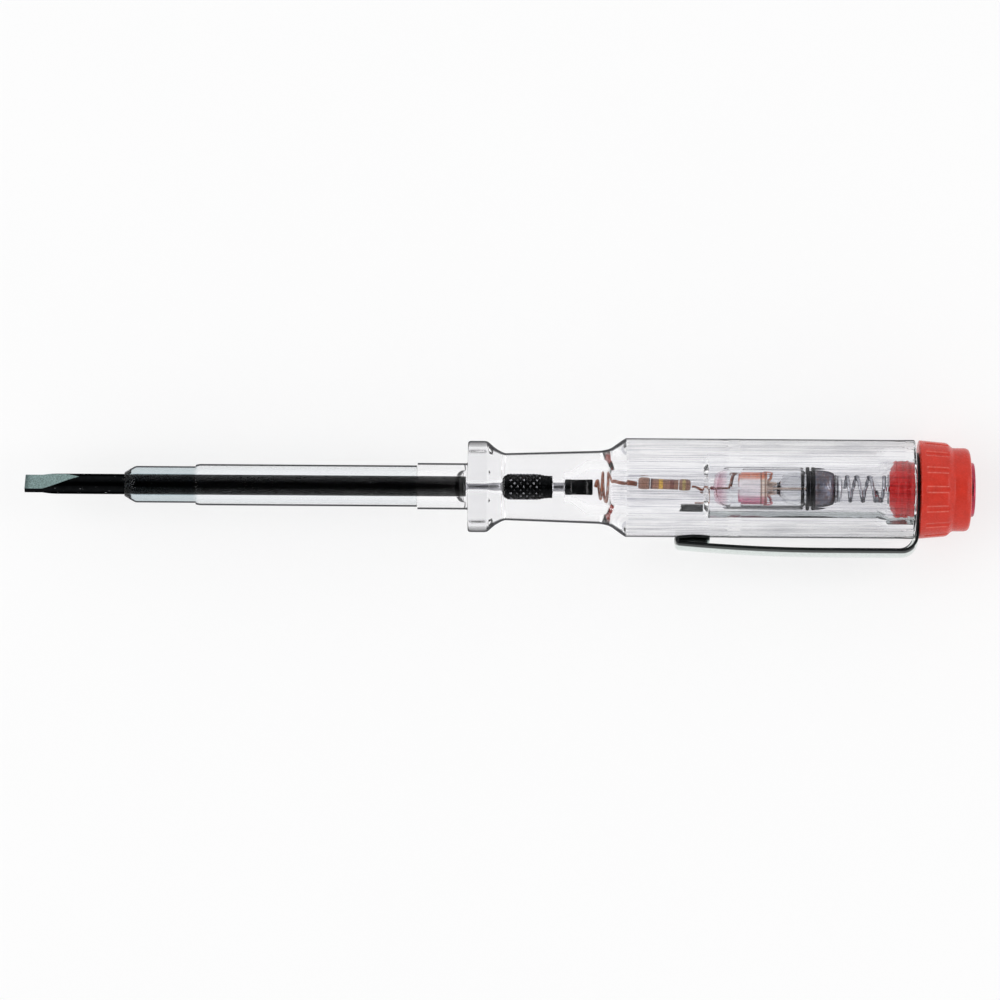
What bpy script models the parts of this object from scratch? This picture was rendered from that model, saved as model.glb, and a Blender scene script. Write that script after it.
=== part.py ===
"""A single-pole mains voltage tester screwdriver, with each of its pieces as one object.

The tool's axis is world +X. The origin is the middle of the blade's end face, +Z is up,
and the pocket clip lies on the -Y side. Every length is in metres.

Round pieces are drawn in a tool frame whose +Z runs from the blade's tip to the cap.
They are children of an empty that lays that frame down along world +X. A point of a
turned profile is (radius, station), and a station is a distance from the blade's tip.
"""

import math

import bmesh
import bpy
from mathutils import Matrix, Vector

# Facets round each turned piece
HANDLE_STEPS = 40
CAP_STEPS = 45
SMALL_STEPS = 24
TINY_STEPS = 16
CORNER_STEPS = 3
DOME_STEPS = 4

# Clearances
FIT = 0.0001
SEAT = 0.00015
OVERRUN = 0.0005
WELD_DISTANCE = 0.000001

# Blade and shank
SHANK_RADIUS = 0.0015
TIP_THICKNESS = 0.0008
TIP_PARALLEL = 0.0013
GRIND_LENGTH = 0.0063
BLADE_ROLL_DEGREES = 45.0
BARE_BLADE = 0.0147
SHANK_SEAT = 0.0072
ANCHOR_GROOVE_RADIUS = 0.0006
ANCHOR_GROOVE_LENGTH = 0.0041
ANCHOR_CONE_LENGTH = 0.0012
KNURL_RADIUS = 0.00125
KNURL_LENGTH = 0.0074
REAR_GROOVE_RADIUS = 0.00065
REAR_GROOVE_LENGTH = 0.0018
POST_RADIUS = 0.00115
POST_LENGTH = 0.0041
POST_CHAMFER = 0.0002

# Insulating sleeves
SLEEVE_LENGTH = 0.0432
INNER_SLEEVE_RADIUS = 0.0027
INNER_SLEEVE_LIP = 0.0002
INNER_SLEEVE_CONE = 0.0016
INNER_SLEEVE_SHOW = 0.0105
OUTER_SLEEVE_WALL = 0.00025
OUTER_SLEEVE_CHAMFER = 0.0005

# Handle, outside
NOSE_RADIUS = 0.00342
NOSE_LENGTH = 0.0074
NOSE_ROUND = 0.0003
GUARD_RADIUS = 0.00672
GUARD_CORNER_RADIUS = 0.00682
GUARD_SIDES = 10
GUARD_ROUND = 0.0005
GUARD_RIM = 0.0028
GUARD_SLOPE = 0.0027
GUARD_SLOPE_SHARES = ((0.44, 0.41), (0.81, 0.10))
NECK_LENGTH = 0.0142
NECK_FRONT_RADIUS = 0.00495
NECK_REAR_RADIUS = 0.0054
SHOULDER_LENGTH = 0.0036
SHOULDER_SHARES = ((0.36, 0.16), (0.83, 0.80))
BODY_RADIUS = 0.0073
BODY_ROUND = 0.00015
GROOVE_COUNT = 20
GROOVE_DEPTH = 0.00035
GROOVE_CUTTER_RADIUS = 0.00066
GROOVE_INSET = 0.0002
FRONT_GROOVE_LENGTH = 0.0154
PLAIN_BAND = 0.0014
REAR_LAND = 0.0013

# Handle, inside
POST_BORE_RADIUS = 0.0015
POST_BORE_LENGTH = 0.0008
BORE_CONE_LENGTH = 0.0024
RESISTOR_BORE_RADIUS = 0.0027
LAMP_BORE_RADIUS = 0.0035
LAMP_BORE_LEAD = 0.0004
LAMP_BORE_CONE = 0.0008
THREAD_FIT = 0.00015
THREAD_RUNOUT = 0.0002
THREAD_CONE = 0.0017
THREAD_CHAMFER = 0.0003

# Resistor
COIL_LENGTH = 0.0028
COIL_RADIUS = 0.0021
COIL_END_RADIUS = 0.0006
COIL_TURNS = 2.25
COIL_POINTS = 10
LEAD_RADIUS = 0.00028
FRONT_LEAD_RUN = 0.0038
FRONT_LEAD_RISE = 0.00095
REAR_LEAD_RUN = 0.0031
RESISTOR_LENGTH = 0.0077
RESISTOR_RADIUS = 0.00085
RESISTOR_CAP_RADIUS = 0.00098
RESISTOR_CAP_LENGTH = 0.0017
RESISTOR_CAP_ROUND = 0.00035
RESISTOR_RISE = 0.00044
RESISTOR_TILT_DEGREES = 2.4

# Lamp
LAMP_RADIUS = 0.0031
GLASS_WALL = 0.00035
LAMP_NOSE_LENGTH = 0.0022
PIP_LENGTH = 0.0004
PIP_WALL = 0.0002
ENVELOPE_LENGTH = 0.0134
ENVELOPE_NECK_STEP = 0.0005
ENVELOPE_NECK_CONE = 0.0003
ENVELOPE_NECK_LENGTH = 0.0013
LAMP_LEAD_RADIUS = 0.00024
LAMP_LEAD_DROP = 0.00228
LAMP_LEAD_FOLD = 0.0019
LAMP_LEAD_ELBOW_SHARE = 0.8
RING_FRONT_SETBACK = 0.0041
RING_LENGTH = 0.0041
RING_RADIUS = 0.00245
RING_WALL = 0.0003
PIN_RADIUS = 0.00055
PIN_STEM_RADIUS = 0.0003
PIN_SETBACK = 0.0011
STEM_LENGTH = 0.0058
STEM_TOP_RADIUS = 0.0008
STEM_FLARE_RADIUS = 0.0025
STEM_NECK_SHARES = (0.12, 0.22, 0.42)
CAP_SHELL_WALL = 0.00032
FLANGE_RISE = 0.0001
FLANGE_WIDTH = 0.00055
FLANGE_GROOVE_WIDTH = 0.0003
FLANGE_GROOVE_DEPTH = 0.00015
LAMP_DOME_LENGTH = 0.0029
LAMP_DOME_END_RADIUS = 0.00195
INSULATOR_RIM = 0.0003
INSULATOR_DEPTH = 0.0005
LAMP_CONTACT_RADIUS = 0.0019
LAMP_CONTACT_HEIGHT = 0.0008
LAMP_CONTACT_ROUND = 0.0004

# Contact spring
SPRING_LENGTH = 0.006
SPRING_RADIUS = 0.0016
SPRING_WIRE_RADIUS = 0.00025
SPRING_TURNS = 3.5
SPRING_END_TURNS = 0.75
SPRING_END_PITCH = 0.00095
SPRING_POINTS = 10

# Contact washer and touch rivet
WASHER_RADIUS = 0.0021
WASHER_THICKNESS = 0.00055
RIVET_END_RADIUS = 0.0007
RIVET_END_STAND = 0.0003
RIVET_SHANK_RADIUS = 0.0012
TOUCH_RADIUS = 0.004
TOUCH_STAND = 0.00065
TOUCH_RECESS = 0.00035
TOUCH_EDGE = 0.0001

# End cap
PLUG_RADIUS = 0.0041
PLUG_LENGTH = 0.00455
PLUG_CHAMFER_LENGTH = 0.0009
PLUG_FRONT_RADIUS = 0.0027
CAP_INSET = 0.00003
CAP_TAPER = 0.00037
CAP_SKIRT_LENGTH = 0.0041
CAP_STEP_LENGTH = 0.0008
CAP_STEP_DEPTH = 0.00075
CAP_SHOULDER_ROUND = 0.0003
CAP_LENGTH = 0.0075
CAP_TOP_ROUND = 0.0015
CAP_EDGE = 0.00012
CAP_GROOVE_COUNT = 15
CAP_GROOVE_DEPTH = 0.00025
CAP_GROOVE_CUTTER_RADIUS = 0.00055
CAP_GROOVE_SETBACK = 0.0006

# Pocket clip
SHEET = 0.00045
CLIP_RING_RADIUS = 0.0054
CLIP_RING_STEPS = 40
CLIP_HALF_STEPS = 4
CLIP_STAND = 0.0026
CLIP_BEND_RADIUS = 0.0022
CLIP_BEND_STEPS = 6
CLIP_STRAIGHT = 0.0113
CLIP_SWEEP = 0.0214
CLIP_SWEEP_STEPS = 8
CLIP_HEM_RADIUS = 0.0004
CLIP_HEM_STEPS = 6
CLIP_FLAP_LENGTH = 0.0044
CLIP_FLAP_BOW = 0.00015
CLIP_FLAP_STEPS = 4

# Stations along the tool that more than one piece shares
NOSE_FRONT = BARE_BLADE + SLEEVE_LENGTH
ANCHOR_FRONT = NOSE_FRONT + SHANK_SEAT
ANCHOR_CONE = ANCHOR_FRONT + ANCHOR_GROOVE_LENGTH
KNURL_FRONT = ANCHOR_CONE + ANCHOR_CONE_LENGTH
KNURL_REAR = KNURL_FRONT + KNURL_LENGTH
POST_FRONT = KNURL_REAR + REAR_GROOVE_LENGTH
POST_REAR = POST_FRONT + POST_LENGTH
COIL_REAR = POST_REAR + COIL_LENGTH
RESISTOR_FRONT = COIL_REAR + FRONT_LEAD_RUN
RESISTOR_REAR = RESISTOR_FRONT + RESISTOR_LENGTH
LAMP_FRONT = RESISTOR_REAR + REAR_LEAD_RUN
LAMP_CAP_FRONT = LAMP_FRONT + PIP_LENGTH + ENVELOPE_LENGTH
FLANGE_REAR = LAMP_CAP_FRONT + 2 * FLANGE_WIDTH + FLANGE_GROOVE_WIDTH
LAMP_CAP_REAR = FLANGE_REAR + LAMP_DOME_LENGTH
INSULATOR_REAR = LAMP_CAP_REAR + FIT + INSULATOR_RIM
LAMP_REAR = INSULATOR_REAR + FIT + LAMP_CONTACT_HEIGHT
WASHER_FRONT = LAMP_REAR + SPRING_LENGTH
PLUG_FRONT = WASHER_FRONT + WASHER_THICKNESS + SEAT
CAP_FRONT = PLUG_FRONT + PLUG_LENGTH
CLIP_REAR = CAP_FRONT - FIT
CLIP_FRONT = CLIP_REAR - SHEET
HANDLE_REAR = CLIP_FRONT - FIT
CAP_REAR = CAP_FRONT + CAP_LENGTH
TOUCH_FACE = CAP_REAR + TOUCH_STAND

GUARD_FRONT = NOSE_FRONT + NOSE_LENGTH
GUARD_REAR = GUARD_FRONT + GUARD_RIM
NECK_FRONT = GUARD_REAR + GUARD_SLOPE
NECK_REAR = NECK_FRONT + NECK_LENGTH
BODY_FRONT = NECK_REAR + SHOULDER_LENGTH

# Fits that two pieces share
LAMP_GLASS_NECK_RADIUS = LAMP_RADIUS - ENVELOPE_NECK_STEP
STEM_HOLE_RADIUS = PIN_STEM_RADIUS + FIT
INSULATOR_RADIUS = LAMP_DOME_END_RADIUS - CAP_SHELL_WALL - FIT
THREAD_BORE_RADIUS = PLUG_RADIUS + THREAD_FIT
CAP_HOLE_RADIUS = RIVET_SHANK_RADIUS + FIT
CAP_FRONT_RADIUS = BODY_RADIUS - CAP_INSET
CAP_SHOULDER_RADIUS = CAP_FRONT_RADIUS - CAP_TAPER
CAP_TOP_RADIUS = CAP_SHOULDER_RADIUS - CAP_STEP_DEPTH

# Colour, roughness, metallic and transmission of each finish
FINISHES = {
    "blued_steel": ((0.05, 0.055, 0.06), 0.25, 1.0, 0.0),
    "clear_plastic": ((0.86, 0.88, 0.92), 0.08, 0.0, 0.85),
    "clear_sleeve": ((0.78, 0.83, 0.87), 0.15, 0.0, 0.85),
    "resistor_lacquer": ((0.42, 0.27, 0.17), 0.45, 0.0, 0.0),
    "tinned_wire": ((0.50, 0.33, 0.26), 0.35, 1.0, 0.0),
    "lamp_glass": ((0.85, 0.90, 0.95), 0.03, 0.0, 0.95),
    "nickel": ((0.60, 0.52, 0.48), 0.3, 1.0, 0.0),
    "lamp_shell": ((0.22, 0.21, 0.25), 0.35, 1.0, 0.0),
    "black_glass": ((0.03, 0.03, 0.035), 0.1, 0.0, 0.0),
    "solder": ((0.72, 0.74, 0.76), 0.35, 1.0, 0.0),
    "spring_steel": ((0.62, 0.64, 0.66), 0.25, 1.0, 0.0),
    "touch_metal": ((0.55, 0.42, 0.44), 0.25, 1.0, 0.0),
    "red_plastic": ((0.52, 0.04, 0.03), 0.35, 0.0, 0.0),
    "chromed_sheet": ((0.70, 0.73, 0.72), 0.15, 1.0, 0.0),
}


def clear_scene():
    """Remove whatever the scene holds."""
    for item in list(bpy.data.objects):
        bpy.data.objects.remove(item, do_unlink=True)


def new_collection(name):
    collection = bpy.data.collections.new(name)
    bpy.context.scene.collection.children.link(collection)
    return collection


def new_empty(name, collection, parent, location, rotation):
    empty = bpy.data.objects.new(name, None)
    collection.objects.link(empty)
    empty.parent = parent
    empty.location = location
    empty.rotation_euler = rotation
    return empty


clear_scene()
PARTS = new_collection("voltage_tester_screwdriver")
CUTTERS = new_collection("cutters")
TOOL = new_empty("tool_axis", PARTS, None, (0, 0, 0), (0, math.pi / 2, 0))
RESISTOR_AXIS = new_empty(
    "resistor_axis",
    PARTS,
    TOOL,
    (0, RESISTOR_RISE, (RESISTOR_FRONT + RESISTOR_REAR) / 2),
    (math.radians(RESISTOR_TILT_DEGREES), 0, 0),
)


def finish(name, kind):
    """Make the material of one piece."""
    colour, roughness, metallic, transmission = FINISHES[kind]
    material = bpy.data.materials.new(name + "_" + kind)
    material.use_nodes = True
    shader = material.node_tree.nodes["Principled BSDF"]
    shader.inputs["Base Color"].default_value = (*colour, 1.0)
    shader.inputs["Roughness"].default_value = roughness
    shader.inputs["Metallic"].default_value = metallic
    shader.inputs["Transmission Weight"].default_value = transmission
    return material


def place(name, data, kind, parent=TOOL):
    """Put a piece in the parts' collection, in the frame of its parent."""
    piece = bpy.data.objects.new(name, data)
    PARTS.objects.link(piece)
    piece.parent = parent
    data.materials.append(finish(name, kind))
    return piece


def turned(name, profile, steps, kind, closed=False, parent=TOOL):
    """Revolve a profile of (radius, station) points, drawn from the rear end forwards."""
    mesh = bpy.data.meshes.new(name)
    points = [(radius, 0, station) for radius, station in profile]
    edges = [(index, index + 1) for index in range(len(points) - 1)]
    if closed:
        edges.append((len(points) - 1, 0))
    mesh.from_pydata(points, edges, [])
    piece = place(name, mesh, kind, parent)
    screw = piece.modifiers.new("revolve", "SCREW")
    screw.steps = steps
    screw.render_steps = steps
    screw.use_merge_vertices = True
    screw.merge_threshold = WELD_DISTANCE
    screw.use_smooth_shade = True
    return piece


def quarter(middle, reach, station, length, steps=DOME_STEPS):
    """Points of a quarter ellipse, from its rim at (middle + reach, station) to its pole."""
    points = []
    for index in range(steps + 1):
        angle = math.pi / 2 * index / steps
        points.append((middle + reach * math.cos(angle), station + length * math.sin(angle)))
    return points


def wire(name, points, radius, kind, resolution=2, parent=TOOL):
    """A round wire with closed ends along a list of points."""
    curve = bpy.data.curves.new(name, "CURVE")
    curve.dimensions = "3D"
    curve.bevel_depth = radius
    curve.bevel_resolution = resolution
    curve.use_fill_caps = True
    spline = curve.splines.new("POLY")
    spline.points.add(len(points) - 1)
    for point, place_of_point in zip(spline.points, points):
        point.co = (*place_of_point, 1)
    return place(name, curve, kind, parent)


def rounded(centre, radius, start_degrees, end_degrees, steps=CORNER_STEPS):
    """Points of a round corner, as (radius, station), from one direction to another."""
    points = []
    for index in range(steps + 1):
        angle = math.radians(start_degrees + (end_degrees - start_degrees) * index / steps)
        points.append((centre[0] + radius * math.cos(angle), centre[1] + radius * math.sin(angle)))
    return points


def cutter(name, mesh, rotation=(0, 0, 0)):
    """An object in the tool frame that only cuts others."""
    tool = bpy.data.objects.new(name, mesh)
    CUTTERS.objects.link(tool)
    tool.parent = TOOL
    tool.rotation_euler = rotation
    tool.hide_render = True
    tool.display_type = "WIRE"
    return tool


def cut(piece, tool):
    boolean = piece.modifiers.new(tool.name, "BOOLEAN")
    boolean.operation = "DIFFERENCE"
    boolean.solver = "EXACT"
    boolean.object = tool


def prism(name, outlines, height):
    """A mesh of flat outlines, each a list of (x, y), drawn out along z to both sides."""
    curve = bpy.data.curves.new(name, "CURVE")
    curve.dimensions = "2D"
    curve.fill_mode = "BOTH"
    curve.extrude = height / 2
    for outline in outlines:
        spline = curve.splines.new("POLY")
        spline.points.add(len(outline) - 1)
        spline.use_cyclic_u = True
        for point, corner in zip(spline.points, outline):
            point.co = (*corner, 0, 1)
    drawn = bpy.data.objects.new(name, curve)
    CUTTERS.objects.link(drawn)
    bpy.context.view_layer.update()
    mesh = bpy.data.meshes.new_from_object(drawn.evaluated_get(bpy.context.evaluated_depsgraph_get()))
    bpy.data.objects.remove(drawn)
    work = bmesh.new()
    work.from_mesh(mesh)
    bmesh.ops.remove_doubles(work, verts=work.verts, dist=WELD_DISTANCE)
    bmesh.ops.recalc_face_normals(work, faces=work.faces)
    work.to_mesh(mesh)
    work.free()
    return mesh


def groove_ring(name, count, pitch_radius, cutter_radius, front, rear, lean=0):
    """Round-ended rods in a ring, the first on top, which cut grooves and may lean inwards."""
    work = bmesh.new()
    for index in range(count):
        angle = math.pi + 2 * math.pi * index / count
        made = bmesh.ops.create_uvsphere(work, u_segments=8, v_segments=5, radius=cutter_radius)
        for vertex in made["verts"]:
            end = rear - cutter_radius if vertex.co.z > 0 else front + cutter_radius
            vertex.co.z += end
            vertex.co.x -= lean * (vertex.co.z - front) / (rear - front)
        turn = Matrix.Rotation(angle, 4, "Z") @ Matrix.Translation((pitch_radius, 0, 0))
        bmesh.ops.transform(work, matrix=turn, verts=made["verts"])
    mesh = bpy.data.meshes.new(name)
    work.to_mesh(mesh)
    work.free()
    return cutter(name, mesh)


def make_blade_shank():
    """Steel shank with two ground flats, an anchor in the handle and a contact post."""
    profile = [
        (0, POST_REAR),
        (POST_RADIUS - POST_CHAMFER, POST_REAR),
        (POST_RADIUS, POST_REAR - POST_CHAMFER),
        (POST_RADIUS, POST_FRONT),
        (REAR_GROOVE_RADIUS, POST_FRONT),
        (REAR_GROOVE_RADIUS, KNURL_REAR),
        (KNURL_RADIUS, KNURL_REAR),
        (KNURL_RADIUS, KNURL_FRONT),
        (ANCHOR_GROOVE_RADIUS, ANCHOR_CONE),
        (ANCHOR_GROOVE_RADIUS, ANCHOR_FRONT),
        (SHANK_RADIUS, ANCHOR_FRONT),
        (SHANK_RADIUS, 0),
        (0, 0),
    ]
    blade = turned("blade_shank", profile, SMALL_STEPS, "blued_steel")
    tip_half = TIP_THICKNESS / 2
    slope = (SHANK_RADIUS - tip_half) / (GRIND_LENGTH - TIP_PARALLEL)
    reach = SHANK_RADIUS + OVERRUN
    run_out = GRIND_LENGTH + OVERRUN / slope
    outline = [(tip_half, -OVERRUN), (reach, -OVERRUN), (reach, run_out), (tip_half, TIP_PARALLEL)]
    for side, sign in (("upper", -1), ("lower", 1)):
        mesh = prism("grind_" + side, [[(sign * x, y) for x, y in outline]], 2 * reach)
        grind = cutter("grind_" + side, mesh, (math.pi / 2, 0, -math.radians(BLADE_ROLL_DEGREES)))
        cut(blade, grind)


def make_sleeves():
    """The clear tube on the shank, and the second one over its rear part."""
    inner_bore = SHANK_RADIUS + FIT
    rear = NOSE_FRONT - FIT
    turned("inner_sleeve", [
        (INNER_SLEEVE_RADIUS, rear),
        (INNER_SLEEVE_RADIUS, BARE_BLADE + INNER_SLEEVE_CONE),
        (inner_bore + INNER_SLEEVE_LIP, BARE_BLADE),
        (inner_bore, BARE_BLADE),
        (inner_bore, rear),
    ], HANDLE_STEPS, "clear_sleeve", closed=True)
    outer_bore = INNER_SLEEVE_RADIUS + FIT
    outer_radius = outer_bore + OUTER_SLEEVE_WALL
    outer_front = BARE_BLADE + INNER_SLEEVE_SHOW
    turned("outer_sleeve", [
        (outer_radius, rear),
        (outer_radius, outer_front + OUTER_SLEEVE_CHAMFER),
        (outer_bore + OUTER_SLEEVE_WALL / 2, outer_front),
        (outer_bore, outer_front),
        (outer_bore, rear),
    ], HANDLE_STEPS, "clear_sleeve", closed=True)


def handle_outside():
    """The handle's outer profile, from its rear face to the front of its nose."""
    outside = rounded((BODY_RADIUS - BODY_ROUND, HANDLE_REAR - BODY_ROUND), BODY_ROUND, 90, 0, 1)
    outside.append((BODY_RADIUS, BODY_FRONT))
    for along_share, up_share in reversed(SHOULDER_SHARES):
        rise = NECK_REAR_RADIUS + (BODY_RADIUS - NECK_REAR_RADIUS) * up_share
        outside.append((rise, NECK_REAR + SHOULDER_LENGTH * along_share))
    outside.append((NECK_REAR_RADIUS, NECK_REAR))
    outside.append((NECK_FRONT_RADIUS, NECK_FRONT))
    for along_share, up_share in reversed(GUARD_SLOPE_SHARES):
        rise = NECK_FRONT_RADIUS + (GUARD_RADIUS - NECK_FRONT_RADIUS) * up_share
        outside.append((rise, GUARD_REAR + GUARD_SLOPE * along_share))
    outside.append((GUARD_RADIUS, GUARD_REAR))
    outside += rounded((GUARD_RADIUS - GUARD_ROUND, GUARD_FRONT + GUARD_ROUND), GUARD_ROUND, 0, -90)
    outside += rounded((NOSE_RADIUS + NOSE_ROUND, GUARD_FRONT - NOSE_ROUND), NOSE_ROUND, 90, 180, 2)
    outside += rounded((NOSE_RADIUS - NOSE_ROUND, NOSE_FRONT + NOSE_ROUND), NOSE_ROUND, 0, -90, 2)
    return outside


def handle_inside():
    """The handle's bore, from its nose to its rear face."""
    bore_front = POST_FRONT + FIT
    cone_front = bore_front + POST_BORE_LENGTH
    lamp_cone_rear = LAMP_FRONT - LAMP_BORE_LEAD
    thread_front = PLUG_FRONT - THREAD_RUNOUT
    return [
        (SHANK_RADIUS + FIT, NOSE_FRONT),
        (SHANK_RADIUS + FIT, ANCHOR_FRONT + FIT),
        (ANCHOR_GROOVE_RADIUS + FIT, ANCHOR_FRONT + FIT),
        (ANCHOR_GROOVE_RADIUS + FIT, ANCHOR_CONE - FIT),
        (KNURL_RADIUS + FIT, KNURL_FRONT - FIT),
        (KNURL_RADIUS + FIT, KNURL_REAR + FIT),
        (REAR_GROOVE_RADIUS + FIT, KNURL_REAR + FIT),
        (REAR_GROOVE_RADIUS + FIT, POST_FRONT - FIT),
        (POST_BORE_RADIUS, POST_FRONT - FIT),
        (POST_BORE_RADIUS, cone_front),
        (RESISTOR_BORE_RADIUS, cone_front + BORE_CONE_LENGTH),
        (RESISTOR_BORE_RADIUS, lamp_cone_rear - LAMP_BORE_CONE),
        (LAMP_BORE_RADIUS, lamp_cone_rear),
        (LAMP_BORE_RADIUS, thread_front - THREAD_CONE),
        (THREAD_BORE_RADIUS, thread_front),
        (THREAD_BORE_RADIUS, HANDLE_REAR - THREAD_CHAMFER),
        (THREAD_BORE_RADIUS + THREAD_CHAMFER, HANDLE_REAR),
    ]


def make_handle():
    """Clear moulded handle with a ten-sided guard and two rings of grooves."""
    profile = handle_outside() + handle_inside()
    handle = turned("handle", profile, HANDLE_STEPS, "clear_plastic", closed=True)
    corners = []
    for index in range(GUARD_SIDES):
        angle = math.pi / 2 + 2 * math.pi * index / GUARD_SIDES
        corners.append((GUARD_CORNER_RADIUS * math.cos(angle), GUARD_CORNER_RADIUS * math.sin(angle)))
    clear = GUARD_CORNER_RADIUS + OVERRUN
    square = [(clear, clear), (-clear, clear), (-clear, -clear), (clear, -clear)]
    rim_length = GUARD_RIM + GUARD_SLOPE + OVERRUN
    flats_mesh = prism("guard_flats", [square, corners], rim_length)
    flats_mesh.transform(Matrix.Translation((0, 0, GUARD_FRONT - OVERRUN + rim_length / 2)))
    cut(handle, cutter("guard_flats", flats_mesh))
    pitch_radius = BODY_RADIUS + GROOVE_CUTTER_RADIUS - GROOVE_DEPTH
    front_start = BODY_FRONT - GROOVE_INSET
    front_end = front_start + FRONT_GROOVE_LENGTH
    rear_start = front_end + PLAIN_BAND
    rear_end = HANDLE_REAR - REAR_LAND
    for place_name, start, end in (("front", front_start, front_end), ("rear", rear_start, rear_end)):
        cut(handle, groove_ring(
            place_name + "_grooves", GROOVE_COUNT, pitch_radius, GROOVE_CUTTER_RADIUS, start, end,
        ))


def resistor_lead_ends():
    """Where the resistor's axis meets its two end faces, in the tool frame."""
    half = RESISTOR_LENGTH / 2
    tilt = math.radians(RESISTOR_TILT_DEGREES)
    middle = (RESISTOR_FRONT + RESISTOR_REAR) / 2
    ends = []
    for sign in (-1, 1):
        reach = sign * (half + SEAT)
        ends.append((0, RESISTOR_RISE - reach * math.sin(tilt), middle + reach * math.cos(tilt)))
    return ends


def make_resistor():
    """Lacquered body with its two pressed-on end caps."""
    half = RESISTOR_LENGTH / 2
    body_half = half - RESISTOR_CAP_LENGTH - FIT
    turned("resistor_body", [
        (0, body_half),
        (RESISTOR_RADIUS, body_half),
        (RESISTOR_RADIUS, -body_half),
        (0, -body_half),
    ], TINY_STEPS, "resistor_lacquer", parent=RESISTOR_AXIS)
    corner = RESISTOR_CAP_RADIUS - RESISTOR_CAP_ROUND
    outer_end = [(0, half)] + rounded((corner, half - RESISTOR_CAP_ROUND), RESISTOR_CAP_ROUND, 90, 0, 2)
    inner_edge = [
        (RESISTOR_CAP_RADIUS, half - RESISTOR_CAP_LENGTH + RESISTOR_CAP_ROUND),
        (RESISTOR_RADIUS, half - RESISTOR_CAP_LENGTH),
        (0, half - RESISTOR_CAP_LENGTH),
    ]
    rear_cap = outer_end + inner_edge
    front_cap = [(radius, -station) for radius, station in reversed(rear_cap)]
    turned("resistor_rear_cap", rear_cap, TINY_STEPS, "resistor_lacquer", parent=RESISTOR_AXIS)
    turned("resistor_front_cap", front_cap, TINY_STEPS, "resistor_lacquer", parent=RESISTOR_AXIS)


def least_gap(points, radius, skip):
    """The least gap between parts of a wire that lie more than skip points apart."""
    least = None
    for first in range(len(points)):
        for second in range(first + skip, len(points)):
            gap = (Vector(points[first]) - Vector(points[second])).length - 2 * radius
            least = gap if least is None else min(least, gap)
    return least


def make_resistor_leads():
    """The front lead is wound into a contact coil, and the rear one meets the lamp's lead."""
    front_end, rear_end = resistor_lead_ends()
    coil_front = POST_REAR + SEAT + LEAD_RADIUS
    count = round(COIL_TURNS * COIL_POINTS)
    coil = []
    for index in range(count + 1):
        part = index / count
        angle = math.pi / 2 + 2 * math.pi * COIL_TURNS * part
        radius = COIL_RADIUS - (COIL_RADIUS - COIL_END_RADIUS) * max(0, 2 * part - 1)
        station = COIL_REAR + (coil_front - COIL_REAR) * part
        coil.append((radius * math.cos(angle), radius * math.sin(angle), station))
    rise = FRONT_LEAD_RISE
    bend = (COIL_RADIUS - rise) / 2
    lead = [
        front_end,
        (0, (front_end[1] + rise) / 2, front_end[2] - FRONT_LEAD_RUN / 4),
        (0, rise, RESISTOR_FRONT - FRONT_LEAD_RUN / 2),
        (0, rise, COIL_REAR + 2 * bend),
        (-bend / 2, rise + bend, COIL_REAR + bend),
    ]
    wire("resistor_front_lead", lead + coil, LEAD_RADIUS, "tinned_wire", 1)
    gap = least_gap(coil, LEAD_RADIUS, COIL_POINTS // 2)
    print("contact coil, least gap to itself in mm:", gap * 1000)
    lead_stop = LAMP_FRONT - LAMP_LEAD_RADIUS * 3 - SEAT
    drop = -LAMP_LEAD_DROP / 4
    wire("resistor_rear_lead", [
        rear_end,
        (0, rear_end[1], rear_end[2] + REAR_LEAD_RUN / 6),
        (0, (rear_end[1] + drop) / 2, (rear_end[2] + lead_stop) / 2),
        (0, drop, lead_stop - REAR_LEAD_RUN / 6),
        (0, drop, lead_stop),
    ], LEAD_RADIUS, "tinned_wire")


def make_lamp_bulb():
    """Glass envelope with a drawn-down front end, open at the rear for its stem."""
    nose_front = LAMP_FRONT + PIP_LENGTH
    nose_rear = nose_front + LAMP_NOSE_LENGTH
    hole = LAMP_LEAD_RADIUS + FIT
    pip = hole + PIP_WALL
    glass_rear = LAMP_CAP_FRONT + ENVELOPE_NECK_LENGTH
    neck_front = LAMP_CAP_FRONT - ENVELOPE_NECK_CONE
    outside = [
        (LAMP_GLASS_NECK_RADIUS, glass_rear),
        (LAMP_GLASS_NECK_RADIUS, LAMP_CAP_FRONT),
        (LAMP_RADIUS, neck_front),
    ]
    outside += quarter(pip, LAMP_RADIUS - pip, nose_rear, -LAMP_NOSE_LENGTH)
    outside.append((pip, LAMP_FRONT))
    inside = [(hole, LAMP_FRONT)]
    inner_radius = LAMP_RADIUS - GLASS_WALL
    inside += reversed(quarter(hole, inner_radius - hole, nose_rear, GLASS_WALL - LAMP_NOSE_LENGTH))
    inside += [
        (inner_radius, neck_front - GLASS_WALL),
        (LAMP_GLASS_NECK_RADIUS - GLASS_WALL, LAMP_CAP_FRONT - GLASS_WALL),
        (LAMP_GLASS_NECK_RADIUS - GLASS_WALL, glass_rear),
    ]
    turned("lamp_bulb", outside + inside, SMALL_STEPS, "lamp_glass", closed=True)


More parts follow.
